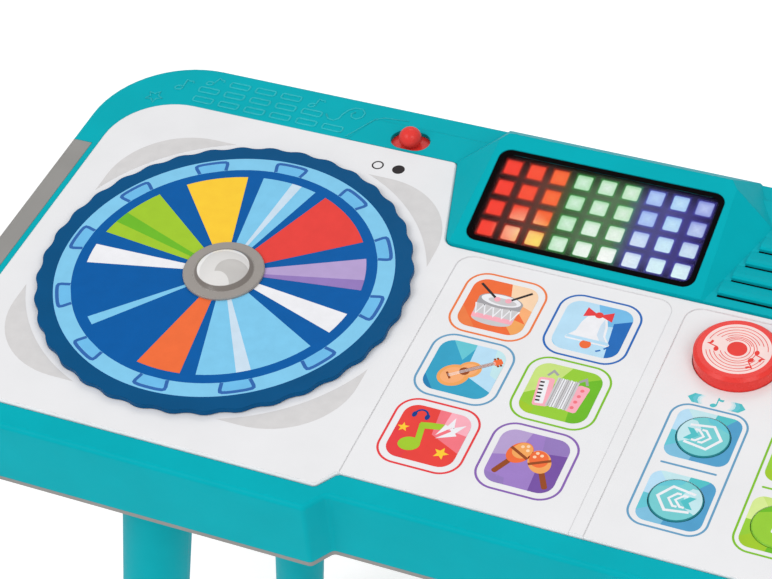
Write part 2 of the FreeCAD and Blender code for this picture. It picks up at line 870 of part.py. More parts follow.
def make_turntable():
    crest = disc_radius + scallop_height / 2
    valley = disc_radius - scallop_height / 2
    edges = []
    step = 2 * math.pi / scallops

    def at(radius, angle):
        return Vector(disc_x + radius * math.cos(angle), disc_y + radius * math.sin(angle), 0)

    for i in range(scallops):
        a = i * step
        edges.append(Part.Arc(at(disc_radius, a - step / 4), at(crest, a), at(disc_radius, a + step / 4)).toShape())
        edges.append(Part.Arc(
            at(disc_radius, a + step / 4), at(valley, a + step / 2), at(disc_radius, a + 3 * step / 4)).toShape())
    low = panel_top + disc_lift
    top = low + disc_thickness
    outline = Part.Face(Part.Wire(edges))
    outline.translate(Vector(0, 0, low))
    disc = outline.extrude(Vector(0, 0, disc_thickness))
    disc = disc.cut(cylinder(face_radius, top - face_thickness, top + 1, disc_x, disc_y))
    disc = disc.cut(cylinder(spindle_radius, low - 1, top + 1, disc_x, disc_y))
    save("turntable_disc", disc)
    face = ring(spindle_radius, face_radius, top - face_thickness, top, disc_x, disc_y)
    save("turntable_face", face)
    hub = ring(spindle_radius, hub_ring_radius, top, top + hub_ring_height, disc_x, disc_y)
    hub = bevel_level(hub, top + hub_ring_height, hub_bevel)
    save("hub_ring", hub)
    base = top + hub_ring_height
    rise = hub_cap_height
    sphere_radius = (hub_cap_radius ** 2 + rise ** 2) / (2 * rise)
    dome = Part.makeSphere(sphere_radius, Vector(disc_x, disc_y, base + rise - sphere_radius))
    dome = dome.common(cylinder(hub_cap_radius, base, base + rise + 1, disc_x, disc_y))
    dome = dome.cut(cylinder(spindle_radius, base - 1, base + rise / 2, disc_x, disc_y))
    save("hub_cap", dome)
    bush_bottom = panel_under - bush_length
    bush = cylinder(bush_radius, bush_bottom, panel_top, disc_x, disc_y)
    bush = bush.fuse(cylinder(bush_flange_radius, panel_under - bush_flange, panel_under, disc_x, disc_y))
    bush = bush.cut(cylinder(spindle_radius + spindle_fit, bush_bottom - 1, panel_top + 1, disc_x, disc_y))
    save("spindle_bush", bush.removeSplitter())
    tail = bush_bottom - spindle_tail
    spindle = cylinder(spindle_radius, tail, base + rise / 2, disc_x, disc_y)
    shoulder = cylinder(spindle_radius + 2.5, panel_top + 0.1, low, disc_x, disc_y)
    save("turntable_spindle", spindle.fuse(shoulder).removeSplitter())
    wheel_top = bush_bottom - 0.3
    wheel_low = wheel_top - encoder_thickness
    wheel = ring(spindle_radius, encoder_radius, wheel_low, wheel_top, disc_x, disc_y)
    for i in range(encoder_slots):
        slot = box(encoder_radius - 4.5, encoder_radius - 1.2, -0.9, 0.9, wheel_low - 1, wheel_top + 1)
        slot.rotate(Vector(0, 0, 0), UP, 360.0 * i / encoder_slots)
        slot.translate(Vector(disc_x, disc_y, 0))
        wheel = wheel.cut(slot)
    save("encoder_wheel", wheel)
    clip = ring(spindle_radius, spindle_radius + 2.5, wheel_low - 1.0, wheel_low, disc_x, disc_y)
    clip = clip.cut(box(disc_x, disc_x + encoder_radius, disc_y - 2, disc_y + 2, wheel_low - 2, wheel_top))
    save("spindle_clip", clip)
    board = box(
        disc_x + encoder_radius - 4, disc_x + encoder_radius + 15, disc_y - 8, disc_y + 8,
        sensor_top() - board_thickness, sensor_top())
    body = box(
        disc_x + encoder_radius - 4, disc_x + encoder_radius + 6, disc_y - 3, disc_y + 3,
        wheel_low - 3.5, sensor_top() - board_thickness)
    gap = box(
        disc_x, disc_x + encoder_radius + 1, disc_y - 4, disc_y + 4, wheel_low - 0.8, wheel_top + 0.8)
    save("encoder_sensor", board.fuse(body.cut(gap)).removeSplitter())


def make_buttons():
    for name, x, y, radius, proud, travel in button_places():
        top = panel_top - section_sink + proud
        cap = cylinder(radius, panel_under - 1, top, x, y)
        cap = bevel_level(cap, top, button_bevel + proud / 6)
        flange_top = panel_under - stop_gap
        flange = cylinder(
            radius + button_gap + flange_width, flange_top - flange_thickness, flange_top, x, y)
        hollow = cylinder(radius - button_wall, flange_top - flange_thickness - 1, top - button_wall, x, y)
        plunger_low = board_top + switch_height + travel + stop_gap
        half = plunger_radius
        plunger = box(x - half, x + half, y - half, y + half, plunger_low, top - button_wall)
        save(name, cap.fuse(flange).cut(hollow).fuse(plunger).removeSplitter())


def make_keys():
    rod_y, rod_z = key_rod_place()
    back = key_front_y + key_length
    top = panel_top + key_proud
    low = panel_under - key_below
    for i in range(key_count):
        x = key_middle(i)
        key = rounded_box(key_width, key_length, key_round, low, top, x, (key_front_y + back) / 2)
        key = bevel_level(key, top, key_bevel)
        key = key.cut(box(
            x - key_width / 2 + key_wall, x + key_width / 2 - key_wall,
            key_front_y + key_wall, back - key_wall, low - 1, top - key_wall))
        key = key.fuse(box(
            x - key_width / 2 + key_round, x + key_width / 2 - key_round, key_front_y - key_lip,
            key_front_y + key_wall, panel_under - stop_gap - key_lip_thickness, panel_under - stop_gap))
        for side in (-1, 1):
            ear_x = x + side * key_ear_offset
            ear = box(
                ear_x - key_ear / 2, ear_x + key_ear / 2, back - key_wall, rod_y + key_ear_height / 2,
                rod_z - key_ear_height / 2, rod_z + key_ear_height / 2)
            bore = Part.makeCylinder(
                key_rod_radius + key_rod_fit, key_ear + 2, Vector(ear_x - key_ear / 2 - 1, rod_y, rod_z),
                Vector(1, 0, 0))
            key = key.fuse(ear).cut(bore)
        press = (rod_y - key_front_y - key_plunger_y) * math.sin(math.radians(key_angle))
        plunger_low = board_top + switch_height + press + 3 * stop_gap
        plunger_y = key_front_y + key_plunger_y
        key = key.fuse(box(
            x - plunger_radius, x + plunger_radius, plunger_y - plunger_radius, plunger_y + plunger_radius,
            plunger_low, top - key_wall))
        save("piano_key_%d" % (i + 1), key.removeSplitter())
    first = key_middle(0) - key_ear_offset - key_ear
    last = key_middle(key_count - 1) + key_ear_offset + key_ear
    rod = Part.makeCylinder(key_rod_radius, last - first, Vector(first, rod_y, rod_z), Vector(1, 0, 0))
    save("key_rod", rod)


def switch_block(x, y):
    """Square press switch that stands on a board."""
    half = plunger_radius + 0.5
    return box(x - half, x + half, y - half, y + half, board_top - 0.5, board_top + switch_height)


def make_boards():
    middle = (button_column_left + button_column_right) / 2
    low = board_top - board_thickness
    board = rounded_box(button_board_width, button_board_depth, 2.0, low, board_top, middle, button_board_y)
    for name, x, y, radius, proud, travel in button_places():
        board = board.fuse(switch_block(x, y))
    save("button_board", board.removeSplitter())
    y = key_front_y + key_plunger_y
    board = rounded_box(key_board_width(), key_board_depth, 2.0, low, board_top, key_middle_x, y)
    for i in range(key_count):
        board = board.fuse(switch_block(key_middle(i), y))
    save("key_board", board.removeSplitter())
    save("touch_pad_board", rounded_box(
        pad_board_width, pad_board_depth, 2.0, panel_under - board_thickness, panel_under,
        pad_board_x, pad_board_y))
    low = tray_inside + main_board_lift
    board = rounded_box(
        main_board_width, main_board_depth, 2.0, low, low + board_thickness, main_board_x, main_board_y)
    for dx, dy, size, height in ((-18, 6, 18, 2.0), (16, 10, 10, 1.6), (20, -14, 8, 9.0)):
        x = main_board_x + dx
        y = main_board_y + dy
        top = low + board_thickness + height
        board = board.fuse(box(x - size / 2, x + size / 2, y - size / 2, y + size / 2, low + 0.5, top))
    save("main_board", board.removeSplitter())


def light_places():
    places = []
    for column in range(light_columns):
        for row in range(light_rows):
            x = (column - (light_columns - 1) / 2) * light_pitch_x
            y = (row - (light_rows - 1) / 2) * light_pitch_y
            places.append((x, y))
    return places


def make_display():
    top = -window_sink
    window = rounded_box(
        window_width - 2 * window_gap, window_height - 2 * window_gap, window_corner - window_gap,
        top - window_thickness, top)
    save("display_window", on_housing(window, display_x, display_y))
    mask_top = -shell_wall - stop_gap
    mask_low = mask_top - mask_thickness
    led_top = mask_low - 1.2
    board_z = led_top - led_height
    mask = rounded_box(window_width + 4.4, window_height + 2.0, 2.0, mask_low, mask_top)
    pipes = []
    leds = []
    for x, y in light_places():
        half_x = light_width / 2
        half_y = light_depth / 2
        mask = mask.cut(box(
            x - half_x - mask_gap, x + half_x + mask_gap, y - half_y - mask_gap, y + half_y + mask_gap,
            mask_low - 1, mask_top + 1))
        pipes.append(box(
            x - half_x, x + half_x, y - half_y, y + half_y, mask_top - light_length, mask_top - stop_gap))
        leds.append(box(
            x - led_size / 2, x + led_size / 2, y - led_size / 2, y + led_size / 2, board_z, led_top))
    for side_x in (-1, 1):
        for side_y in (-1, 1):
            post_x = side_x * window_width / 2
            post_y = side_y * (window_height / 2 - 1)
            post = box(post_x - 1, post_x + 1, post_y - 1, post_y + 1, board_z, mask_low + 0.5)
            mask = mask.fuse(post)
    save("display_mask", on_housing(mask.removeSplitter(), display_x, display_y))
    save("display_lights", on_housing(Part.makeCompound(pipes), display_x, display_y))
    board = rounded_box(
        window_width + 4, window_height + 1, 2.0, board_z - board_thickness, board_z)
    board = Part.makeCompound([board])
    save("led_board", on_housing(board, display_x, display_y))
    save("display_leds", on_housing(Part.makeCompound(leds), display_x, display_y))


def make_speaker():
    top = grille_top - shell_wall - stop_gap
    rim = 1.5
    low = top - speaker_depth
    middle = Vector(speaker_x, speaker_y, 0)
    frame_profile = [
        Vector(speaker_radius - 3, 0, top), Vector(speaker_radius, 0, top), Vector(speaker_radius, 0, top - rim),
        Vector(speaker_radius - 2, 0, top - rim), Vector(15, 0, low + 6), Vector(15, 0, low), Vector(0, 0, low),
        Vector(0, 0, low + 7), Vector(14, 0, low + 7), Vector(speaker_radius - 3, 0, top - rim),
    ]
    frame = Part.Face(Part.makePolygon(frame_profile + frame_profile[:1]))
    frame = frame.revolve(Vector(0, 0, 0), UP, 360)
    frame.translate(middle)
    save("speaker_frame", frame)
    edge = speaker_radius - 3.2
    cone_profile = [
        Vector(0, 0, top - 8), Vector(7, 0, top - 9.5), Vector(edge - 2, 0, top - 1.6),
        Vector(edge, 0, top - 0.6), Vector(edge, 0, top - 1.4), Vector(edge - 2, 0, top - 2.6),
        Vector(7, 0, top - 10.5), Vector(0, 0, top - 9),
    ]
    cone = Part.Face(Part.makePolygon(cone_profile + cone_profile[:1]))
    cone = cone.revolve(Vector(0, 0, 0), UP, 360)
    cone.translate(middle)
    save("speaker_cone", cone)


def make_power_switch():
    plate_top = rim_top - switch_skin - switch_plate_gap
    plate_low = plate_top - switch_plate
    plate = rounded_box(
        switch_plate_length, switch_plate_width, 1.0, plate_low, plate_top, switch_x, switch_y)
    middle = plate_top + switch_ball_radius * 0.75
    ball = Part.makeSphere(switch_ball_radius, Vector(switch_x, switch_y, middle))
    stem = cylinder(switch_ball_radius * 0.7, plate_low, middle, switch_x, switch_y)
    strap_top = ledge_under
    tongue = box(
        switch_x - switch_tongue / 2, switch_x + switch_tongue / 2, switch_y - 1.5, switch_y + 1.5,
        strap_top - switch_strap - 3.5, plate_low + 0.5)
    ball = ball.common(box(
        switch_x - 10, switch_x + 10, switch_y - 10, switch_y + 10, plate_low, plate_top + 20))
    save("power_knob", fuse([plate, stem, ball, tongue]))
    room = switch_tongue / 2 + switch_travel + 0.5
    guide_length = switch_plate_length + 2 * switch_travel
    strap = box(
        switch_x - guide_length / 2 - 4, switch_x + guide_length / 2 + 4, switch_y - 5, switch_y + 5,
        strap_top - switch_strap, strap_top)
    body = box(
        switch_x - room - 2.5, switch_x + room + 2.5, switch_y - 5, switch_y + 5,
        strap_top - switch_body_height, strap_top - switch_strap + 0.2)
    slot = box(
        switch_x - room, switch_x + room, switch_y - 2, switch_y + 2,
        strap_top - switch_body_height + 1.5, strap_top + 1)
    save("power_switch", strap.fuse(body).cut(slot).removeSplitter())


def make_grips():
    for name, side in (("side_grip_left", -1), ("side_grip_right", 1)):
        outer = side * half_width
        inner = side * (half_width - grip_depth + grip_gap)
        grip = box(
            min(outer, inner), max(outer, inner), -grip_half_length + grip_gap, grip_half_length - grip_gap,
            rim_top - grip_height + grip_gap, rim_top)
        edges = []
        for edge in grip.Edges:
            bounds = edge.BoundBox
            along = bounds.YLength > 1 and bounds.XLength < 0.01 and bounds.ZLength < 0.01
            if along and abs(bounds.ZMin - rim_top) < 0.01 and abs(bounds.XMin - outer) < 0.01:
                edges.append(edge)
        save(name, grip.makeFillet(shell_edge_round, edges))


def make_legs():
    feet = []
    for name, side_x, side_y in leg_places():
        place = leg_placement(side_x, side_y)
        down = place.Rotation.multVec(UP).z
        sink = leg_foot_radius * math.sqrt(1 - down * down)
        length = (tray_under - socket_skirt - foot_wall - sink) / down
        shaft = Part.makeCone(leg_foot_radius, leg_top_radius, length, Vector(0, 0, -length))
        spigot = Part.makeCylinder(leg_spigot_radius, leg_spigot_length)
        bore_depth = leg_spigot_length + length - leg_end
        bore = Part.makeCylinder(leg_bore_radius, bore_depth, Vector(0, 0, leg_end - length))
        leg = shaft.fuse(spigot)
        outside = leg.copy()
        leg = leg.cut(bore)
        leg.Placement = place
        outside.Placement = place
        save(name, leg.removeSplitter())
        foot = Part.makeCylinder(foot_radius, foot_height + foot_reach, Vector(0, 0, -length - foot_reach))
        foot.Placement = place
        above = box(-console_width, console_width, -console_depth, console_depth, 0, table_height)
        feet.append(foot.common(above).cut(outside))
    save("leg_feet", Part.makeCompound(feet))


def make_screws():
    screws = []
    for x, y in screw_places():
        head_top = tray_under + screw_head_height / 2
        head = cylinder(screw_head_radius, tray_under + 0.1, head_top, x, y)
        shaft = cylinder(screw_radius - 0.02, tray_under + 0.5, tray_under + screw_length, x, y)
        screws.append(head.fuse(shaft).removeSplitter())
    save("housing_screws", Part.makeCompound(screws))


def save(name, shape):
    parts[name] = shape


def build():
    save("top_housing", make_top_housing())
    save("bottom_tray", make_bottom_tray())
    save("control_panel", make_control_panel())
    make_grips()
    make_display()
    make_speaker()
    make_turntable()
    make_buttons()
    make_keys()
    make_boards()
    make_power_switch()
    make_battery_parts()
    make_legs()
    make_screws()


build()
os.makedirs("parts", exist_ok=True)
for name, shape in parts.items():
    solids = shape.Solids
    if not shape.isValid() or len(solids) != 1:
        print(name, "valid", shape.isValid(), "solids", len(solids), "volume", round(shape.Volume))
    shape.exportStep("parts/%s.step" % name)
print(len(parts), "nodes")
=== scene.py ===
import json
import math

import bmesh
import bpy
from mathutils import Euler, Matrix, Vector
from mathutils.geometry import tessellate_polygon


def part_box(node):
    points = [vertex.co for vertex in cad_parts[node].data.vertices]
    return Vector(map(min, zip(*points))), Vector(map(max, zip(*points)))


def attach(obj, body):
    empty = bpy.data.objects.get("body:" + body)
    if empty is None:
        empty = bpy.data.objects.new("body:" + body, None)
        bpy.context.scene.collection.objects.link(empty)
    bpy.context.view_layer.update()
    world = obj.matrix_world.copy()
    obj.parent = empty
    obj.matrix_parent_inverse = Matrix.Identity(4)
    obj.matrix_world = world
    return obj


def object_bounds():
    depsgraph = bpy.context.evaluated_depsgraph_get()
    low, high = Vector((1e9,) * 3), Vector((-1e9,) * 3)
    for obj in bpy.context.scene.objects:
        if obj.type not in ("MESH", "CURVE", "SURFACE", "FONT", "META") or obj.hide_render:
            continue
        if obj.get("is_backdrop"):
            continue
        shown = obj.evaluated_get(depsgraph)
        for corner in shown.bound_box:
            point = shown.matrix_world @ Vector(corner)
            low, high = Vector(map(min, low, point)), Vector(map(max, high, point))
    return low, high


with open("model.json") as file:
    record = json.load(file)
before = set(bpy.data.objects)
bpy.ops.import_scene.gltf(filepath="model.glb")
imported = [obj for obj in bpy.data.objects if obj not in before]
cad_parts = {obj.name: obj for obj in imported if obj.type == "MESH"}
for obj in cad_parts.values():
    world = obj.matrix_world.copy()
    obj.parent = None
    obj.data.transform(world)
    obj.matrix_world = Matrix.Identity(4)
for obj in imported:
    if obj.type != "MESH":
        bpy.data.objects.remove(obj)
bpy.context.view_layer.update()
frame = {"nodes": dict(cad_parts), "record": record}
nodes = frame["nodes"]
scene = bpy.context.scene
MM = 0.001

# Camera: the viewing angle of the photograph.

CAMERA_LENS = 113.1205
CAMERA_PLACE = (0.23691514, -0.71147673, 1.19912633)
CAMERA_TURN = (46.13902, 4.48904, 22.92575)

camera_data = bpy.data.cameras.new("camera")
camera_data.sensor_width = 36.0
camera_data.lens = CAMERA_LENS
camera_data.clip_end = 20.0
camera = bpy.data.objects.new("camera", camera_data)
camera.location = CAMERA_PLACE
camera.rotation_euler = Euler([math.radians(a) for a in CAMERA_TURN], "XYZ")
scene.collection.objects.link(camera)
scene.camera = camera


# Materials.

def linear(rgb):
    """An sRGB colour of 0 to 255 as the linear colour that the shaders take."""
    values = []
    for channel in rgb:
        c = channel / 255.0
        values.append(c / 12.92 if c <= 0.04045 else ((c + 0.055) / 1.055) ** 2.4)
    return (*values, 1.0)


def shaded(rgb, factor):
    return tuple(min(255.0, max(0.0, c * factor)) for c in rgb)


class Finish:
    """A Principled material with its node helpers."""

    def __init__(self, name, rgb, rough, specular=0.3, metallic=0.0):
        self.material = bpy.data.materials.new(name)
        self.material.use_nodes = True
        self.tree = self.material.node_tree
        self.shader = self.tree.nodes["Principled BSDF"]
        self.rgb = rgb
        self.set("Base Color", linear(rgb))
        self.set("Roughness", rough)
        self.set("Specular IOR Level", specular)
        self.set("Metallic", metallic)
        self.material.diffuse_color = linear(rgb)

    def set(self, socket, value):
        self.shader.inputs[socket].default_value = value

    def node(self, kind, **values):
        made = self.tree.nodes.new(kind)
        for key, value in values.items():
            if key in made.inputs:
                made.inputs[key].default_value = value
            else:
                setattr(made, key, value)
        return made

    def link(self, source, target):
        self.tree.links.new(source, target)

    def place(self):
        if "place" not in self.tree.nodes:
            self.node("ShaderNodeTexCoord").name = "place"
        return self.tree.nodes["place"].outputs["Object"]

    def noise(self, scale, detail=3.0, rough=0.55):
        made = self.node("ShaderNodeTexNoise", Scale=scale, Detail=detail, Roughness=rough)
        self.link(self.place(), made.inputs["Vector"])
        return made.outputs["Fac"]

    def spread(self, source, low, high, start=0.3, end=0.7, hold=True):
        made = self.node("ShaderNodeMapRange", clamp=hold)
        limits = {"From Min": start, "From Max": end, "To Min": low, "To Max": high}
        for socket, value in limits.items():
            made.inputs[socket].default_value = value
        self.link(source, made.inputs["Value"])
        return made.outputs["Result"]

    def fill(self, socket, value):
        """Links a socket, or writes a number or an sRGB colour into it."""
        if isinstance(value, tuple):
            socket.default_value = linear(value)
        elif isinstance(value, (int, float)):
            socket.default_value = value
        else:
            self.link(value, socket)

    def math(self, operation, *values):
        made = self.node("ShaderNodeMath", operation=operation)
        for socket, value in zip(made.inputs, values):
            self.fill(socket, value)
        return made.outputs[0]

    def blend(self, factor, first, second):
        """The first colour where the factor is 0 and the second where it is 1."""
        made = self.node("ShaderNodeMix", data_type="RGBA")
        for socket, value in (("A", first), ("B", second), ("Factor", factor)):
            self.fill(made.inputs[socket], value)
        return made.outputs["Result"]

    def root_of_squares(self, first, second):
        squares = [self.math("MULTIPLY", side, side) for side in (first, second)]
        return self.math("SQRT", self.math("ADD", *squares))

    def object_axes(self):
        split = self.node("ShaderNodeSeparateXYZ")
        self.link(self.place(), split.inputs["Vector"])
        return split.outputs["X"], split.outputs["Y"]

    def tint(self, scale, amount):
        """Slow patches a little darker and lighter than the written colour."""
        patches = self.spread(self.noise(scale), 0.0, 1.0)
        colour = self.blend(patches, shaded(self.rgb, 1.0 - amount), shaded(self.rgb, 1.0 + amount))
        self.link(colour, self.shader.inputs["Base Color"])

    def roughen(self, scale, low, high):
        self.link(self.spread(self.noise(scale, 4.0), low, high), self.shader.inputs["Roughness"])

    def grain(self, scale, strength, distance=0.0002):
        """Fine bumps."""
        bump = self.node("ShaderNodeBump", Strength=strength, Distance=distance)
        self.link(self.noise(scale, 2.0), bump.inputs["Height"])
        self.link(bump.outputs["Normal"], self.shader.inputs["Normal"])
        return bump


SINK_SCALE, SINK_STRENGTH, SINK_DEPTH = 60.0, 0.05, 0.0006
EDGE_RADIUS = 0.0006


def moulded(name, rgb, rough, specular=0.3, tint=0.02, grain=0.12):
    """Injection-moulded plastic: even colour, fine grain, faint sink waviness and softened edges."""
    finish = Finish(name, rgb, rough, specular)
    finish.tint(38.0, tint)
    finish.roughen(420.0, rough - 0.05, rough + 0.06)
    bump = finish.grain(2600.0, grain, 0.00012)
    wave = finish.node("ShaderNodeBump", Strength=SINK_STRENGTH, Distance=SINK_DEPTH)
    finish.link(finish.noise(SINK_SCALE, 1.0), wave.inputs["Height"])
    finish.link(wave.outputs["Normal"], bump.inputs["Normal"])
    soft = finish.node("ShaderNodeBevel", samples=4, Radius=EDGE_RADIUS)
    finish.link(soft.outputs["Normal"], wave.inputs["Normal"])
    return finish.material


def ink(name, rgb, rough=0.42, specular=0.06):
    """Printed colour under a clear coat, with a slight unevenness in the ink."""
    finish = Finish(name, rgb, rough, specular)
    finish.tint(160.0, 0.015)
    finish.roughen(700.0, rough - 0.04, rough + 0.05)
    finish.grain(3200.0, 0.05, 0.00008)
    return finish.material


def metal(name, rgb, rough):
    finish = Finish(name, rgb, rough, 0.5, 1.0)
    finish.roughen(900.0, rough - 0.08, rough + 0.10)
    finish.grain(1800.0, 0.10, 0.00005)
    return finish.material


def window_glass():
    """Clear acrylic, slightly tinted."""
    finish = Finish("window", (252, 252, 253), 0.03, 0.2)
    finish.set("Transmission Weight", 1.0)
    finish.set("IOR", 1.12)
    finish.grain(90.0, 0.02, 0.0001)
    return finish.material


def domed_hub(centre):
    """Pale dome with a darker groove round its foot and soft light and dark sweeps."""
    finish = Finish("hub_light", (222, 220, 218), 0.24, 0.3)
    across, along = finish.object_axes()
    fine, wide = 0.0003, 0.0006

    def past(x, y, radius, soften, inside=0.0):
        """Zero inside a circle about a point of the dome and one outside, or the reverse."""
        dx = finish.math("SUBTRACT", across, (centre[0] + x) * MM)
        dy = finish.math("SUBTRACT", along, (centre[1] + y) * MM)
        distance = finish.root_of_squares(dx, dy)
        return finish.spread(distance, inside, 1.0 - inside, radius, radius + soften)

    colour = finish.blend(past(6.2, -3.2, 0.0078, fine, 1.0), (224, 222, 220), (197, 194, 191))
    colour = finish.blend(past(1.4, -11.4, 0.0062, fine, 1.0), colour, (226, 224, 222))
    crescent = finish.math("MULTIPLY", past(-1.6, 1.6, 0.0078, wide), past(2.2, -2.2, 0.0118, wide))
    colour = finish.blend(crescent, colour, (244, 243, 242))
    colour = finish.blend(past(0.0, 0.0, 0.0121, fine), colour, (124, 117, 112))
    colour = finish.blend(past(0.6, -0.6, 0.0136, wide), colour, (158, 152, 147))
    finish.link(colour, finish.shader.inputs["Base Color"])
    finish.grain(1200.0, 0.03, 0.00008)
    return finish.material


DISC_X, DISC_Y = -206.5, -11.3

# Each plastic: colour, roughness, specular level, patches and grain.
PLASTICS = {
    "teal_plastic": ((0, 173, 185), 0.42, 0.045, 0.015, 0.14),
    "white_plastic": ((236, 236, 238), 0.42, 0.25, 0.008, 0.10),
    "grey_plastic": ((150, 148, 145), 0.50, 0.22, 0.02, 0.20),
    "dark_plastic": ((20, 17, 18), 0.45, 0.25, 0.05, 0.12),
    "navy_plastic": ((0, 80, 130), 0.40, 0.07, 0.03, 0.10),
    "hub_grey": ((154, 148, 143), 0.36, 0.3, 0.02, 0.08),
    "red_plastic": ((236, 60, 54), 0.26, 0.22, 0.02, 0.04),
    "blue_plastic": ((40, 132, 142), 0.30, 0.1),
    "green_plastic": ((130, 192, 50), 0.30),
    "yellow_plastic": ((255, 206, 60), 0.30),
    "orange_plastic": ((242, 116, 60), 0.30),
    "purple_plastic": ((156, 129, 191), 0.30),
    "rubber_grey": ((122, 121, 120), 0.62, 0.2, 0.03, 0.30),
    "acetal": ((238, 236, 228), 0.40),
    "paper_cone": ((44, 42, 42), 0.80, 0.1, 0.06, 0.4),
    "board": ((24, 92, 60), 0.40, 0.35, 0.05, 0.08),
    "cell": ((60, 62, 66), 0.28, 0.4, 0.04, 0.05),
}
SLOT_MATERIALS = {name: moulded(name, *look) for name, look in PLASTICS.items()}
SLOT_MATERIALS["blue_print"] = ink("disc_blue", (8, 92, 166), 0.40, 0.05)
SLOT_MATERIALS["hub_light"] = domed_hub((DISC_X, DISC_Y))
SLOT_MATERIALS["window"] = window_glass()
SLOT_MATERIALS["steel"] = metal("steel", (196, 198, 202), 0.30)


def dress(node, material):
    """Puts a material in every slot of a node's object."""
    holder = nodes[node]
    if not holder.material_slots:
        holder.data.materials.append(material)
    for place in holder.material_slots:
        place.material = material


slot_of = {}
for entry in frame["record"]["subparts"]:
    slot_of[entry.get("node", entry.get("name"))] = entry.get("material_slot", entry.get("material"))
for name in nodes:
    chosen = SLOT_MATERIALS.get(slot_of.get(name))
    if chosen is not None:
        dress(name, chosen)


# Flat drawing tools. Drawings are in millimetres.

def arc(cx, cy, radius, start, end, steps):
    points = []
    for i in range(steps + 1):
        a = math.radians(start + (end - start) * i / steps)
        points.append((cx + radius * math.cos(a), cy + radius * math.sin(a)))
    return points


def circle(cx, cy, radius, steps=64):
    return arc(cx, cy, radius, 0, 360, steps)[:-1]


def ellipse(cx, cy, rx, ry, turn=0.0, steps=40):
    c, s = math.cos(math.radians(turn)), math.sin(math.radians(turn))
    points = []
    for x, y in circle(0.0, 0.0, 1.0, steps):
        points.append((cx + c * x * rx - s * y * ry, cy + s * x * rx + c * y * ry))
    return points


def box(left, low, right, high):
    return [(left, low), (right, low), (right, high), (left, high)]


def sector(cx, cy, inner, outer, start, end):
    count = max(2, int(abs(end - start) / 3.0))
    return arc(cx, cy, outer, start, end, count) + arc(cx, cy, inner, end, start, count)


def rounded(cx, cy, half_x, half_y, radius, steps=8):
    points = []
    for sx, sy, start in ((1, 1, 0), (-1, 1, 90), (-1, -1, 180), (1, -1, 270)):
        corner_x, corner_y = cx + sx * (half_x - radius), cy + sy * (half_y - radius)
        points += arc(corner_x, corner_y, radius, start, start + 90, steps)
    return points


def moved(points, dx, dy, turn=0.0, scale=1.0):
    c, s = math.cos(math.radians(turn)) * scale, math.sin(math.radians(turn)) * scale
    return [(dx + c * x - s * y, dy + s * x + c * y) for x, y in points]


def band(path, width, closed=False):
    """The outline of a line along a path. A closed path gives an outer and an inner loop."""
    count = len(path)
    left, right = [], []
    for i, (x, y) in enumerate(path):
        before = path[i - 1] if (i or closed) else path[i]
        after = path[(i + 1) % count] if (i < count - 1 or closed) else path[i]
        first = Vector((x - before[0], y - before[1]))
        second = Vector((after[0] - x, after[1] - y))
        first = first.normalized() if first.length > 1e-9 else second.normalized()
        second = second.normalized() if second.length > 1e-9 else first
        along = first + second
        along = along.normalized() if along.length > 1e-6 else first
        reach = width / 2.0 / max(0.4, along.dot(first))
        left.append((x - along.y * reach, y + along.x * reach))
        right.append((x + along.y * reach, y - along.x * reach))
    if closed:
        return [left, right]
    return [left + right[::-1]]


def clipped(points, window):
    """The part of a shape inside a convex window drawn anticlockwise."""
    result = list(points)
    for i, (ax, ay) in enumerate(window):
        bx, by = window[(i + 1) % len(window)]
        source, result = result, []
        for j, current in enumerate(source):
            previous = source[j - 1]
            inside = (bx - ax) * (current[1] - ay) - (by - ay) * (current[0] - ax)
            before = (bx - ax) * (previous[1] - ay) - (by - ay) * (previous[0] - ax)
            if (inside >= 0) != (before >= 0):
                t = before / (before - inside)
                result.append(tuple(p + t * (c - p) for p, c in zip(previous, current)))
            if inside >= 0:
                result.append(current)
        if not result:
            return []
    return result


def clean(points):
    kept = []
    for point in points:
        if not kept or math.dist(point, kept[-1]) > 1e-4:
            kept.append(point)
    if len(kept) > 1 and math.dist(kept[0], kept[-1]) < 1e-4:
        kept.pop()
    return kept


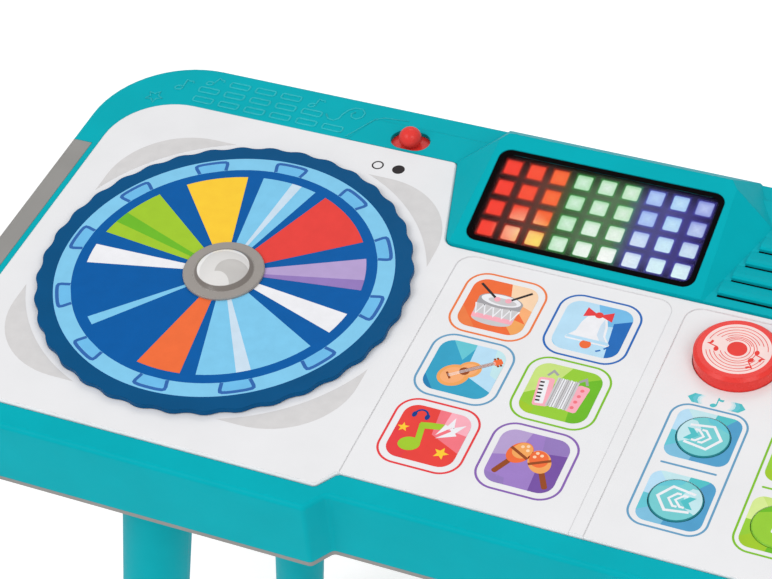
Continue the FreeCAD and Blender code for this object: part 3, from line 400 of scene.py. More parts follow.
class Print:
    """Printed shapes on one flat surface, each a thin closed plate, kept as one mesh."""

    SUNK, RAISED, LEVEL_STEP = 0.02, 0.05, 0.03

    def __init__(self, name, body, top):
        self.name, self.body, self.top = name, body, top
        self.mesh = bmesh.new()
        self.materials = []

    def add(self, loops, material, level=0):
        high = self.top + self.RAISED + level * self.LEVEL_STEP
        self.plate(loops, material, self.top - self.SUNK, high)

    def plate(self, loops, material, low, high):
        """A plate between two heights. Loops after the first are holes."""
        if loops and isinstance(loops[0][0], (int, float)):
            loops = [loops]
        loops = [clean(loop) for loop in loops]
        loops = [loop for loop in loops if len(loop) > 2]
        if not loops:
            return
        if material not in self.materials:
            self.materials.append(material)
        index = self.materials.index(material)
        flat = [point for loop in loops for point in loop]
        upper = [self.mesh.verts.new(Vector((x, y, high)) * MM) for x, y in flat]
        lower = [self.mesh.verts.new(Vector((x, y, low)) * MM) for x, y in flat]
        for a, b, c in tessellate_polygon([[Vector((x, y, 0.0)) for x, y in loop] for loop in loops]):
            (ax, ay), (bx, by), (cx, cy) = flat[a], flat[b], flat[c]
            turn = (bx - ax) * (cy - ay) - (by - ay) * (cx - ax)
            if abs(turn) < 1e-9:
                continue
            order = (a, b, c) if turn > 0 else (a, c, b)
            self.face([upper[i] for i in order], index)
            self.face([lower[i] for i in reversed(order)], index)
        start = 0
        for loop in loops:
            area = sum(x0 * y1 - x1 * y0 for (x0, y0), (x1, y1) in zip(loop[-1:] + loop, loop))
            outer = loop is loops[0]
            ahead = (area > 0) == outer
            for i in range(len(loop)):
                a, b = start + i, start + (i + 1) % len(loop)
                if not ahead:
                    a, b = b, a
                self.face([lower[a], lower[b], upper[b], upper[a]], index)
            start += len(loop)

    def face(self, corners, index):
        try:
            made = self.mesh.faces.new(corners)
        except ValueError:
            return
        made.material_index = index

    def finish(self):
        data = bpy.data.meshes.new(self.name)
        self.mesh.to_mesh(data)
        self.mesh.free()
        for material in self.materials:
            data.materials.append(material)
        made = bpy.data.objects.new(self.name, data)
        scene.collection.objects.link(made)
        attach(made, self.body)
        return made


# Printed colours.

PALETTE = {
    "ring_blue": (132, 203, 238),
    "ring_window": (112, 190, 236),
    "bracket_blue": (52, 104, 176),
    "sky_blue": (128, 202, 238),
    "pale_blue": (206, 226, 242),
    "white": (240, 240, 244),
    "yellow": (255, 206, 58),
    "lime": (163, 203, 50),
    "leaf_green": (112, 188, 44),
    "red": (234, 70, 64),
    "lilac": (184, 162, 210),
    "violet": (150, 124, 190),
    "orange": (242, 112, 62),
    "peach": (250, 176, 120),
    "cream": (253, 216, 180),
    "light_grey": (216, 214, 214),
    "black": (52, 48, 50),
    "frame_orange": (240, 128, 74),
    "frame_blue": (48, 108, 186),
    "frame_sky": (106, 160, 196),
    "frame_green": (132, 194, 48),
    "frame_red": (232, 66, 70),
    "frame_violet": (138, 100, 178),
    "azure": (120, 190, 234),
    "mist": (186, 224, 246),
    "deep_blue": (40, 110, 188),
    "lagoon": (58, 164, 200),
    "aqua": (104, 200, 214),
    "foam": (196, 232, 238),
    "pine_blue": (40, 128, 180),
    "grass": (152, 206, 60),
    "sprout": (202, 228, 128),
    "rose": (244, 120, 132),
    "blush": (250, 176, 190),
    "plum": (120, 84, 164),
    "grape": (160, 128, 200),
    "silver": (206, 204, 206),
    "stone": (166, 164, 168),
    "brown": (150, 76, 40),
    "tan": (244, 168, 96),
    "navy": (22, 66, 140),
    "button_aqua": (120, 206, 210),
    "field_teal": (84, 194, 200),
    "field_blue": (84, 160, 204),
    "field_sky": (128, 192, 222),
    "field_lime": (216, 236, 150),
    "wisp": (220, 238, 242),
    # Painted shade for the outlines of the sunken sections.
    "section_edge_shade": (222, 221, 223),
    "shell": (250, 222, 218),
}
INK = {name: ink("ink_" + name, rgb) for name, rgb in PALETTE.items()}
INK["border"] = ink("ink_border", (7, 5, 6), 0.5, 0.03)


# Turntable graphics: an inlaid face that turns with the disc.

RING = 80.0
BAND_INNER, BAND_OUTER = 0.895 * RING, 0.998 * RING
WEDGE_INNER, WEDGE_OUTER = 0.2 * RING, 0.83 * RING
disc_print = Print("turntable_print", "turntable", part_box("turntable_face")[1].z / MM)
rings = [circle(DISC_X, DISC_Y, radius, 120) for radius in (BAND_OUTER, BAND_INNER)]
disc_print.add(rings, INK["ring_blue"])
WEDGES = [
    (35.8, 68.5, "red"),
    (74.1, 98.7, "sky_blue"),
    (105.4, 131.4, "yellow"),
    (143.6, 173.6, "lime"),
    (181.4, 192.4, "white"),
    (224.7, 229.7, "sky_blue"),
    (259.4, 278.3, "orange"),
    (284.7, 331.7, "sky_blue"),
    (341.6, 353.5, "white"),
    (7.5, 25.8, "lilac"),
]
STREAKS = [
    (81.2, 85.7, "pale_blue"),
    (160.0, 166.5, "leaf_green"),
    (300.4, 306.2, "pale_blue"),
    (7.5, 13.4, "violet"),
]
for level, sectors in enumerate((WEDGES, STREAKS)):
    for start, end, colour in sectors:
        wedge = sector(DISC_X, DISC_Y, WEDGE_INNER, WEDGE_OUTER, start, end)
        disc_print.add(wedge, INK[colour], level)


def polar(radius, angle):
    """A point of the disc, with the radius as a part of the ring's and the angle in degrees."""
    a = math.radians(angle)
    return (DISC_X + RING * radius * math.cos(a), DISC_Y + RING * radius * math.sin(a))


# Twelve brackets on the light ring: half of each outline as radius and angle from its middle.
WINDOW_SIDE = [(0.897, 5.2), (0.962, 5.6), (0.962, 2.8)]
BRACKET_SIDE = [(0.897, 5.1), (0.950, 5.7), (0.966, 5.6), (0.973, 4.9), (0.975, 3.2), (0.975, 1.6)]
BRACKET_WIDTH = 0.021 * RING
for turn in range(12):
    middle = 90.0 + 30.0 * turn
    window, bracket = [
        [polar(r, middle - a) for r, a in side] + [polar(top, middle)]
        + [polar(r, middle + a) for r, a in reversed(side)]
        for side, top in ((WINDOW_SIDE, 0.962), (BRACKET_SIDE, 0.975))
    ]
    disc_print.add(window, INK["ring_window"], 1)
    disc_print.add(band(bracket, BRACKET_WIDTH), INK["bracket_blue"], 2)
disc_print.finish()

# Grey shapes round the turntable, power marks, and painted shade along the edges of the two sunken
# sections.

PANEL_TOP, SECTION_TOP = 430.0, 429.6
SHAPE_HALF, SHAPE_CORNER, SHAPE_GAP = 1.09 * RING, 0.50 * RING, 1.177 * RING
FRONT_SQUEEZE = 0.955
SECTION_NEAR, SECTION_FAR = 3.25, 106.95
SECTION_FRONT, SECTION_TURN, SECTION_CORNER = -106.1, 30.0, 7.85
panel_print = Print("panel_print", "console", PANEL_TOP)
shape_edge = math.sqrt(SHAPE_GAP * SHAPE_GAP - SHAPE_HALF * SHAPE_HALF)
open_angle = math.degrees(math.atan2(shape_edge, SHAPE_HALF))
shape = [(SHAPE_HALF, shape_edge)]
shape += arc(SHAPE_HALF - SHAPE_CORNER, SHAPE_HALF - SHAPE_CORNER, SHAPE_CORNER, 0, 90, 16)
shape += [(shape_edge, SHAPE_HALF)]
shape += arc(0.0, 0.0, SHAPE_GAP, 90 - open_angle, open_angle, 30)[1:-1]
for sx, sy in ((1, 1), (-1, 1), (-1, -FRONT_SQUEEZE), (1, -FRONT_SQUEEZE)):
    panel_print.add([(DISC_X + sx * x, DISC_Y + sy * y) for x, y in shape], INK["light_grey"])
mark_y = DISC_Y + 1.183 * RING
off_mark = circle(DISC_X + 0.467 * RING, mark_y, 2.6, 40)
on_mark = circle(DISC_X + 0.603 * RING, mark_y, 3.1, 40)
panel_print.add(band(off_mark, 0.75, True), INK["black"])
panel_print.add(on_mark, INK["black"])
panel_print.finish()
# Light grey lines along the outlines of the two sunken sections: painted shade standing in for the
# shaded walls of their shallow steps.
edge_shade_print = Print("section_edge_painted_shade", "console", SECTION_TOP)
for left, right in ((-SECTION_FAR, -SECTION_NEAR), (SECTION_NEAR, SECTION_FAR)):
    path = [(left, SECTION_FRONT), (left, SECTION_TURN)]
    path += arc(left + SECTION_CORNER, SECTION_TURN, SECTION_CORNER, 180, 90, 10)
    path += arc(right - SECTION_CORNER, SECTION_TURN, SECTION_CORNER, 90, 0, 10)
    path += [(right, SECTION_FRONT)]
    edge_shade_print.add(band(path, 0.45), INK["section_edge_shade"])
edge_shade_print.finish()


# Six touch pads: an outline, a faceted picture field and a simple figure in each.

PAD_XS = (-78.6, -33.3)
PAD_YS = (10.3, -31.2, -73.2)
pads = Print("pad_print", "console", SECTION_TOP)


def field(printed, cx, cy, half, corner, facets):
    """A rounded square cut into flat facets of related colours."""
    window = rounded(cx, cy, half, half, corner, 7)
    for depth, (colour, shape) in enumerate(facets):
        inside = clipped(moved(shape, cx, cy), window)
        if inside:
            printed.add(inside, INK[colour], depth * 0.15)


def holed_field(printed, cx, cy, half, corner, hole, sectors):
    """A rounded square round a button's opening, in radial facets of related colours."""
    edge = rounded(0.0, 0.0, half, half, corner, 10)
    for start, end, colour in sectors:
        steps = max(3, int((end - start) / 4.0))
        outer = []
        for i in range(steps + 1):
            a = math.radians(start + (end - start) * i / steps)
            ray = (math.cos(a), math.sin(a))
            reach = 0.0
            for (ax, ay), (bx, by) in zip(edge[-1:] + edge, edge):
                cross = ray[0] * (by - ay) - ray[1] * (bx - ax)
                if abs(cross) < 1e-9:
                    continue
                along = (ax * (by - ay) - ay * (bx - ax)) / cross
                part = (ax * ray[1] - ay * ray[0]) / cross
                if along > 0 and -1e-6 <= part <= 1 + 1e-6:
                    reach = max(reach, along)
            outer.append((cx + ray[0] * reach, cy + ray[1] * reach))
        printed.add(outer + arc(cx, cy, hole, end, start, steps), INK[colour])


def star(cx, cy, outer, inner, turn=90.0):
    loop = []
    for i in range(10):
        radius = outer if i % 2 == 0 else inner
        a = math.radians(turn + 36.0 * i)
        loop.append((cx + radius * math.cos(a), cy + radius * math.sin(a)))
    return loop


def note(printed, cx, cy, size, material, level, turn=0.0):
    """A single note: head, stem and flag."""
    parts = [
        ellipse(-0.32, -0.62, 0.42, 0.32, 20, 28),
        [(-0.02, -0.62), (0.14, -0.62), (0.14, 0.86), (-0.02, 0.86)],
        [(0.02, 0.92), (0.30, 0.62), (0.80, 0.66), (0.74, 0.30), (0.32, 0.30), (0.02, 0.52)],
    ]
    for depth, part in enumerate(parts):
        printed.add(moved(part, cx, cy, turn, size), material, level + depth * 0.1)


WHOLE = box(-20, -20, 20, 20)
PADS = [
    (0, 0, "frame_orange", [
        ("orange", WHOLE),
        ("cream", [(0, 20), (4, 6), (20, 0), (20, 20)]),
        ("peach", [(4, 6), (20, -12), (20, 0)]),
        ("frame_orange", [(-20, 2), (-2, -20), (-20, -20)]),
        ("tan", [(2, -4), (16, -20), (20, -20), (20, -8)]),
    ]),
    (1, 0, "frame_blue", [
        ("mist", WHOLE),
        ("azure", [(-4, 20), (3, 3), (20, 6), (20, 20)]),
        ("deep_blue", [(8, 6), (20, 12), (20, -20), (11, -20)]),
        ("sky_blue", [(-20, -6), (-8, -20), (-20, -20)]),
    ]),
    (0, 1, "frame_sky", [
        ("lagoon", WHOLE),
        ("aqua", [(-14, 20), (-3, 5), (3, 20)]),
        ("mist", [(0, 20), (1, -3), (20, -12), (20, 20)]),
        ("foam", [(9, 20), (12, 0), (20, -4), (20, 20)]),
        ("pine_blue", [(-20, -2), (-6, -20), (-20, -20)]),
    ]),
    (1, 1, "frame_green", [
        ("grass", WHOLE),
        ("sprout", [(-20, 20), (-20, -8), (-5, 3), (2, 20)]),
        ("leaf_green", [(5, 8), (20, 16), (20, -20), (8, -20)]),
        ("lime", [(-20, -8), (-8, -12), (-10, -20), (-20, -20)]),
    ]),
    (0, 2, "frame_red", [
        ("red", WHOLE),
        ("rose", [(-1, 20), (1, 1), (20, -8), (20, 20)]),
        ("blush", [(5, 20), (4, 6), (20, 4), (20, 20)]),
        ("frame_red", [(-20, 3), (-5, -6), (-8, -20), (-20, -20)]),
    ]),
    (1, 2, "frame_violet", [
        ("grape", WHOLE),
        ("lilac", [(-20, 20), (-20, -2), (-6, 2), (-2, 20)]),
        ("violet", [(2, 20), (5, 4), (20, 10), (20, 20)]),
        ("plum", [(5, 6), (20, 8), (20, -20), (6, -20)]),
        ("violet", [(-20, -10), (-6, -12), (-4, -20), (-20, -20)]),
    ]),
]
PAD_HALF, PAD_CORNER = 15.7, 6.6
FRAME_HALF, FRAME_CORNER, FRAME_LINE = 19.2, 9.7, 1.0
for column, row, outline, facets in PADS:
    px, py = PAD_XS[column], PAD_YS[row]
    frame_loop = rounded(px, py, FRAME_HALF, FRAME_HALF, FRAME_CORNER, 12)
    pads.add(band(frame_loop, FRAME_LINE, True), INK[outline])
    field(pads, px, py, PAD_HALF, PAD_CORNER, facets)


def figure(column, row, shapes):
    """Shapes in a pad's own millimetres: colour, level and loop."""
    px, py = PAD_XS[column], PAD_YS[row]
    for colour, level, loop in shapes:
        pads.add(moved(loop, px, py), INK[colour], level)


# A drum with two sticks.
zigzag = [
    ("white", 1.8, band([(x - 2.1, -0.2), (x, -6.6), (x + 2.1, -0.2)], 0.7)[0])
    for x in (-8.4, -4.2, 0.0, 4.2, 8.4)
]
figure(0, 0, [
    ("silver", 1, [(-10.5, 2.5), (-9.5, -9), (9.5, -9), (10.5, 2.5)]),
    ("silver", 1.1, ellipse(0, -9, 9.5, 3.2)),
    ("stone", 1.3, [(-10.5, 3.4), (-10.4, -0.2), (10.4, -0.2), (10.5, 3.4)]),
    ("blush", 1.5, [(-9.9, -6.4), (-9.7, -9.2), (9.7, -9.2), (9.9, -6.4)]),
    *zigzag,
    ("stone", 2, ellipse(0, 3.6, 10.6, 4.4)),
    ("white", 2.3, ellipse(0, 4.1, 9.5, 3.5)),
    ("silver", 2.5, ellipse(0.8, 3.6, 6.8, 2.1)),
    ("black", 3, band([(-12.4, 12.2), (-2.2, 4.4)], 1.2)[0]),
    ("black", 3, band([(12.0, 12.8), (3.4, 4.8)], 1.2)[0]),
    ("blush", 3.3, circle(-2.0, 4.4, 1.5, 24)),
    ("blush", 3.3, circle(3.2, 4.8, 1.5, 24)),
])

# A bell with a bow and three lines of sound.
bell_side = [(1.4, 9.0), (4.6, 7.2), (6.2, 3.0), (7.0, -3.0), (10.4, -7.6), (10.0, -8.8)]
gleam = [(3.4, 7.6), (5.0, 3.0), (6.0, -3.0), (9.0, -7.2), (6.0, -7.2), (3.0, -3.0), (2.6, 3.0)]
sounds = [
    ("deep_blue", 1, arc(0, -2, 12.6, angle, angle + 11, 6) + arc(0, -2, 11.7, angle + 11, angle, 6))
    for angle in (-62, -44, -26)
]
figure(1, 0, [
    ("white", 1, bell_side + [(-x, y) for x, y in reversed(bell_side)]),
    ("pale_blue", 1.3, gleam),
    ("orange", 1.1, circle(0, -10.0, 2.6, 32)),
    ("mist", 1.5, [(-9.4, -6.2), (-10.2, -8.0), (10.2, -8.0), (9.4, -6.2)]),
    ("frame_red", 2, [(0, 9.0), (-6.2, 12.6), (-6.8, 6.6)]),
    ("frame_red", 2, [(0, 9.0), (6.8, 6.6), (6.2, 12.6)]),
    ("red", 2.3, circle(0, 9.2, 1.9, 28)),
    *sounds,
])


# A small guitar.

def along_neck(loop, dx=0.6, dy=-0.9):
    return moved(loop, dx, dy, 38.0)


figure(0, 1, [
    ("tan", 1, along_neck(ellipse(0, 0, 7.4, 6.4), -3.4, -5.0)),
    ("tan", 1.05, along_neck(ellipse(0, 0, 5.6, 4.8), 2.2, 0.4)),
    ("peach", 1.3, along_neck(ellipse(0, 0, 5.6, 4.7), -3.7, -5.0)),
    ("peach", 1.3, along_neck(ellipse(0, 0, 4.0, 3.4), 2.0, 0.4)),
    ("brown", 1.6, along_neck([(0.0, -1.1), (14.4, -0.9), (14.4, 0.9), (0.0, 1.1)])),
    ("orange", 1.8, along_neck(rounded(15.4, 0, 2.0, 1.7, 0.7))),
    ("brown", 1.9, circle(0.4, -1.2, 2.3, 30)),
    ("brown", 1.9, along_neck(box(-8.2, -2.2, -7.2, 2.2))),
    *[("white", 2.4, along_neck(box(-7.8, y - 0.1, 14.2, y + 0.1))) for y in (-0.6, 0.0, 0.6)],
    *[("brown", 1.7, along_neck(circle(x, y, 0.6, 16))) for x in (14.6, 16.0) for y in (-2.3, 2.3)],
])


# A squeeze box with keys. Its two ends lean apart.

def left_end(loop):
    return moved(loop, 0, -0.6, 8)


def right_end(loop):
    return moved(loop, 0, -0.6, -6)


squeeze = [
    ("blush", 1, left_end(rounded(-7.6, 0, 3.6, 8.6, 1.4))),
    ("blush", 1, right_end(rounded(8.0, 0, 2.8, 8.2, 1.4))),
]
for i in range(5):
    x = -4.2 + 2.0 * i
    fold = [(x, -9.4), (x + 2.1, -8.9), (x + 2.1, 8.1), (x, 8.6)]
    crease = [(x + 0.8, -9.1), (x + 1.2, -9.0), (x + 1.2, 8.2), (x + 0.8, 8.3)]
    squeeze += [("white" if i % 2 else "silver", 1.2, fold), ("stone", 1.5, crease)]
squeeze.append(("white", 1.6, left_end(rounded(-8.3, 0, 1.9, 7.2, 0.6))))
for i in range(6):
    y = -5.9 + 2.2 * i
    squeeze.append(("black", 1.9, left_end(box(-10.2, y, -8.2, y + 1.0))))
for i in range(4):
    squeeze.append(("rose", 1.9, right_end(circle(8.0, -5.4 + 3.6 * i, 0.9, 20))))
for strap in ([(-9.0, 8.2), (-7.2, 11.6), (-4.6, 9.6)], [(5.4, 8.4), (8.0, 11.0), (9.6, 7.6)]):
    squeeze.append(("stone", 0.8, band(strap, 1.2)[0]))
figure(1, 1, squeeze)

# A note with stars and rays.
figure(0, 2, [
    ("lime", 1, ellipse(-6.4, -7.0, 4.9, 3.9, 14)),
    ("lime", 1.1, [(-4.4, -7.2), (-1.6, -6.6), (-3.6, 6.0), (-6.4, 5.4)]),
    ("lime", 1.2, [(-6.4, 6.2), (-3.6, 3.2), (3.4, 4.6), (4.4, 8.2), (-1.2, 7.4)]),
    ("white", 1, [(3.2, -0.6), (8.4, 5.2), (7.2, 6.6), (13.6, 10.4), (10.4, 4.6), (11.6, 3.4)]),
    ("white", 1, [(2.6, 1.2), (4.6, 8.2), (5.8, 7.8), (7.6, 13.4), (9.0, 7.2), (7.8, 7.4)]),
    ("yellow", 1, star(8.8, -8.0, 3.6, 1.6, 80)),
    ("yellow", 1, star(-12.4, 1.2, 2.8, 1.2, 100)),
    ("navy", 1, arc(-7.6, 10.4, 3.3, 0, 180, 14) + arc(-7.6, 10.4, 2.3, 180, 0, 14)),
    ("navy", 1.2, ellipse(-10.6, 9.8, 1.1, 1.7)),
    ("navy", 1.2, ellipse(-4.6, 9.8, 1.1, 1.7)),
])

# A pair of shakers.
SHAKERS = ((-4.6, 3.4, 62.0, "orange", "tan"), (5.2, 1.0, 118.0, "tan", "orange"))
for cx, cy, lean, low, high in SHAKERS:
    shaker = [
        ("brown", 1, rounded(-10.0, 0, 5.6, 1.3, 1.1)),
        (low, 1.3, ellipse(0, 0, 6.6, 5.1)),
        (high, 1.6, ellipse(1.6, 0, 4.8, 4.2)),
        ("brown", 1.9, [(-1.0, -5.0), (0.4, -5.1), (0.4, 5.1), (-1.0, 5.0)]),
    ]
    shaker += [("cream", 2.2, circle(x, y, 0.8, 20)) for x, y in ((3.2, 1.6), (3.2, -1.6), (5.0, 0.0))]
    figure(1, 2, [(colour, level, moved(loop, cx, cy, lean)) for colour, level, loop in shaker])
pads.finish()

# Frames, fields and signs around the push buttons.

COLUMN_LEFT, COLUMN_RIGHT = 32.95, 77.25
BUTTON_UPPER, BUTTON_LOWER, SONG_Y = -36.4, -74.0, 12.1
BUTTON_R, BUTTON_GAP = 11.6, 0.32
SIGN_Y = -15.3
FIELD_HALF, FIELD_CORNER = 14.3, 5.2
frames = Print("button_frame_print", "console", SECTION_TOP)
AQUA_FACETS = [
    (-38, 52, "field_blue"), (52, 82, "field_teal"), (82, 128, "foam"), (128, 178, "mist"),
    (178, 214, "aqua"), (214, 262, "field_sky"), (262, 322, "field_blue"),
]
LIME_FACETS = [
    (-38, 52, "leaf_green"), (52, 82, "grass"), (82, 128, "sprout"), (128, 178, "field_lime"),
    (178, 214, "grass"), (214, 262, "lime"), (262, 322, "leaf_green"),
]
for middle, shift, line, facets in (
    (COLUMN_LEFT, -0.55, "frame_sky", AQUA_FACETS),
    (COLUMN_RIGHT, 0.55, "frame_green", LIME_FACETS),
):
    frames.add(band(rounded(middle + shift, -55.2, 17.1, 35.6, 8.0, 12), 0.95, True), INK[line])
    for button_y in (BUTTON_UPPER, BUTTON_LOWER):
        holed_field(frames, middle, button_y, FIELD_HALF, FIELD_CORNER, BUTTON_R + BUTTON_GAP, facets)
    frames.add(rounded(middle - 0.6, -55.0, 12.4, 0.5, 0.5, 5), INK[line])
ARROW_TAIL = [(0, 0), (-2.5, 2.7), (-4.9, 2.7), (-3.7, 0.9), (-3.7, -0.9), (-4.9, -2.7), (-2.5, -2.7)]
ARROW_TIP = [(0, 0), (-2.5, 2.7), (-3.7, 2.7), (-2.3, 0), (-3.7, -2.7), (-2.5, -2.7)]
ARROW_PARTS = [
    (2.6, "wisp", ARROW_TAIL), (1.7, "foam", ARROW_TAIL),
    (0.8, "aqua", ARROW_TAIL), (0.0, "field_teal", ARROW_TIP),
]
for side in (-1, 1):
    tip = COLUMN_LEFT - 0.7 + side * 12.9
    for depth, (back, colour, part) in enumerate(ARROW_PARTS):
        arrow = [(tip + side * (x - back), SIGN_Y + y) for x, y in part]
        frames.add(arrow, INK[colour], depth * 0.4)
note(frames, COLUMN_LEFT - 0.6, -15.1, 3.4, INK["field_teal"], 0)
for side, size in ((-1, 1.9), (1, 3.1)):
    note(frames, COLUMN_RIGHT + side * 8.0, SIGN_Y, size, INK["leaf_green"], 0)
frames.add(band([(COLUMN_RIGHT - 3.0, -15.9), (COLUMN_RIGHT + 3.4, -15.9)], 0.8), INK["lime"])
frames.finish()


def button_top(name):
    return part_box(name)[1].z / MM


# Push buttons: a coloured disc with chevrons or a level sign. Signs point right where the way is 1.
LIGHT_PART = [(-12, 8), (-12, -7), (-5, -3.5), (-2, 4), (-5, 8)]
DARK_PART = [(-2, 12), (0, 8.6), (12, 4), (12, 12)]
CHEVRON_FRAME = [(-7.2, 5.0), (3.0, 6.7), (7.9, 0.0), (3.0, -6.7), (-7.2, -5.0)]
ARROW_HEAD = [(-8.0, 3.3), (-5.2, 3.3), (-2.0, 0.0), (-5.2, -3.3), (-8.0, -3.3), (-5.5, 0.0)]
for name, bx, by, way in (
    ("next_button", COLUMN_LEFT, BUTTON_UPPER, 1),
    ("previous_button", COLUMN_LEFT, BUTTON_LOWER, -1),
    ("louder_button", COLUMN_RIGHT, BUTTON_UPPER, 1),
    ("quieter_button", COLUMN_RIGHT, BUTTON_LOWER, -1),
):
    def facing(shape, bx=bx, by=by, way=way):
        return [(bx + way * x, by + y) for x, y in shape]

    face = Print(name + "_print", name, button_top(name))
    window = circle(bx, by, BUTTON_R - 0.55, 60)
    aqua = bx == COLUMN_LEFT
    base, light, deep = ("button_aqua", "foam", "aqua") if aqua else ("grass", "sprout", "leaf_green")
    face.add(window, INK[base])
    for colour, part in ((light, LIGHT_PART), (deep, DARK_PART)):
        face.add(clipped(facing(part)[::way], window), INK[colour], 0.3)
    if aqua:
        face.add(band(facing(CHEVRON_FRAME), 1.25), INK["white"], 3)
        face.add(facing(ARROW_HEAD), INK["field_teal"], 1)
        for start, reach, level in ((-1.9, 3.7, 1.5), (1.1, 4.1, 2)):
            back, bend = start - 2.6, start - 0.5
            chevron = [
                (back, reach), (bend, reach), (start + 2.7, 0.0), (bend, -reach), (back, -reach),
                (back, 1.1 - reach), (bend - 0.5, 1.1 - reach), (start + 1.5, 0.0),
                (bend - 0.5, reach - 1.1), (back, reach - 1.1),
            ]
            face.add(facing(chevron), INK["white"], level)
    else:
        bars = 4 if way > 0 else 2
        for i in range(bars):
            bar_x = bx + 3.0 * (i - (bars - 1) / 2.0)
            half = 1.2 + 1.05 * i
            face.add(rounded(bar_x, by - 4.2 + half, 1.0, half, 0.5, 4), INK["white"], 1)
    face.finish()

# Large round buttons: a pale printed record on the red one, a note on a star on the yellow one.
LABEL_R = 15.2
record_face = Print("record_print", "record_button", button_top("record_button"))
record_face.add(circle(COLUMN_LEFT, SONG_Y, LABEL_R, 90), INK["shell"])
record_face.add(circle(COLUMN_LEFT, SONG_Y, 4.4, 48), INK["red"], 1)
for radius, start, end in (
    (5.7, 215, 505), (6.6, 30, 150), (7.4, 205, 510), (8.6, 220, 495), (10.0, 30, 150),
    (10.3, 205, 335), (11.7, 25, 155), (12.0, 200, 340), (13.4, 10, 170), (13.6, 200, 345),
):
    record_face.add(band(arc(COLUMN_LEFT, SONG_Y, radius, start, end, 48), 0.32), INK["red"], 1)
for angle, turn in ((186, 75), (352, 250), (318, 215)):
    nx, ny = arc(COLUMN_LEFT, SONG_Y, 10.6, angle, angle, 1)[0]
    note(record_face, nx, ny, 3.4, INK["red"], 1.5, turn)
record_face.finish()
melody_face = Print("melody_print", "melody_button", button_top("melody_button"))
melody_face.add(circle(COLUMN_RIGHT, SONG_Y, LABEL_R, 90), INK["shell"])
melody_face.add(star(COLUMN_RIGHT, SONG_Y, 12.4, 6.4), INK["yellow"], 1)
note(melody_face, COLUMN_RIGHT - 0.8, SONG_Y - 0.4, 6.0, INK["orange"], 2)
melody_face.finish()

# Piano keys: one plain figure near the front of each.
KEY_MIDDLE, KEY_PITCH, KEY_FRONT = 206.5, 31.5, -88.0
for i in range(5):
    name = "piano_key_%d" % (i + 1)
    key_face = Print(name + "_print", name, button_top(name))
    kx = KEY_MIDDLE + (i - 2) * KEY_PITCH
    key_face.add(circle(kx, KEY_FRONT + 17.0, 9.4, 60), INK["white"])
    note(key_face, kx - 1.0, KEY_FRONT + 16.4, 4.6 + 0.25 * i, INK["frame_blue"], 1, -6.0 + 3.0 * i)
    key_face.add(band(rounded(kx, KEY_FRONT + 48.0, 11.8, 43.6, 4.0, 8), 0.5, True), INK["white"])
    key_face.finish()


# Lit display. Drawn in the plane of the sloping window, with x across and y up the slope.

DISPLAY_PLACE = (-54.206, 73.0, 437.723)
DISPLAY_TILT = math.radians(11.7)
WINDOW_HALF_X, WINDOW_HALF_Y = 55.80, 27.5
LIGHT_PITCH_X, LIGHT_PITCH_Y = 11.8437, 12.2
TILE_HALF_X, TILE_HALF_Y = 3.8, 4.1
COLUMNS, ROWS = 9, 4
RED_END = 3 / COLUMNS
display_plane = Matrix.Translation(Vector(DISPLAY_PLACE) * MM) @ Matrix.Rotation(DISPLAY_TILT, 4, "X")


class LitFinish(Finish):
    """A lit material of the display. Across and up run from 0 to 1 over the grid of lights."""

    def __init__(self, name, rgb, rough):
        super().__init__(name, rgb, rough, 0.02)
        x, y = self.object_axes()
        half_x, half_y = COLUMNS / 2 * LIGHT_PITCH_X * MM, ROWS / 2 * LIGHT_PITCH_Y * MM
        self.across = self.spread(x, 0.0, 1.0, -half_x, half_x, False)
        self.up = self.spread(y, 0.0, 1.0, -half_y, half_y, False)
        self.wide, _ = self.in_cell(self.across, COLUMNS, LIGHT_PITCH_X)
        self.tall, self.height = self.in_cell(self.up, ROWS, LIGHT_PITCH_Y)

    def in_cell(self, along, count, pitch):
        """Millimetres from the middle of a point's own cell, and its place in the cell from 0 to 1."""
        place = self.math("FRACT", self.math("MULTIPLY", along, count))
        from_middle = self.math("ABSOLUTE", self.math("SUBTRACT", place, 0.5))
        return self.math("MULTIPLY", from_middle, pitch), place

    def ramp(self, stops, smooth=True):
        """Colours that follow each other across the display."""
        made = self.node("ShaderNodeValToRGB")
        made.color_ramp.interpolation = "LINEAR" if smooth else "CONSTANT"
        elements = made.color_ramp.elements
        while len(elements) < len(stops):
            elements.new(0.5)
        for element, (position, colour) in zip(elements, stops):
            element.position = position
            element.color = linear(colour)
        self.link(self.across, made.inputs["Fac"])
        return made.outputs["Color"]

    def columns(self, colours):
        """One colour for each column of lights."""
        return self.ramp([(i / COLUMNS, colour) for i, colour in enumerate(colours)], False)

    def near(self, x, y, reach, part):
        """One near the point (x, y), falling to nothing at the reach, inside a part of the display."""
        dx = self.math("SUBTRACT", self.across, x)
        dy = self.math("MULTIPLY", self.math("SUBTRACT", self.up, y), CELL_STRETCH)
        glow = self.spread(self.root_of_squares(dx, dy), 1.0, 0.0, 0.0, reach)
        return self.math("MULTIPLY", glow, part)

    def between(self, along, low, low_full, high_full, high):
        """One between the inner limits, falling to nothing at the outer ones."""
        rise = self.spread(along, 0.0, 1.0, low, low_full)
        return self.math("MULTIPLY", rise, self.spread(along, 1.0, 0.0, high_full, high))

    def glow(self, colour, source, low, high):
        """Light of a colour, with its strength varied a little."""
        self.link(colour, self.shader.inputs["Emission Color"])
        self.link(self.spread(source, low, high), self.shader.inputs["Emission Strength"])


CELL_STRETCH = 0.46
GLOW_STOPS = [
    (0.0, (206, 40, 30)), (0.30, (214, 62, 34)), (0.331, (120, 130, 50)), (0.345, (56, 172, 74)),
    (0.60, (66, 182, 90)), (0.655, (70, 160, 130)), (0.675, (92, 104, 214)), (1.0, (84, 78, 196)),
]


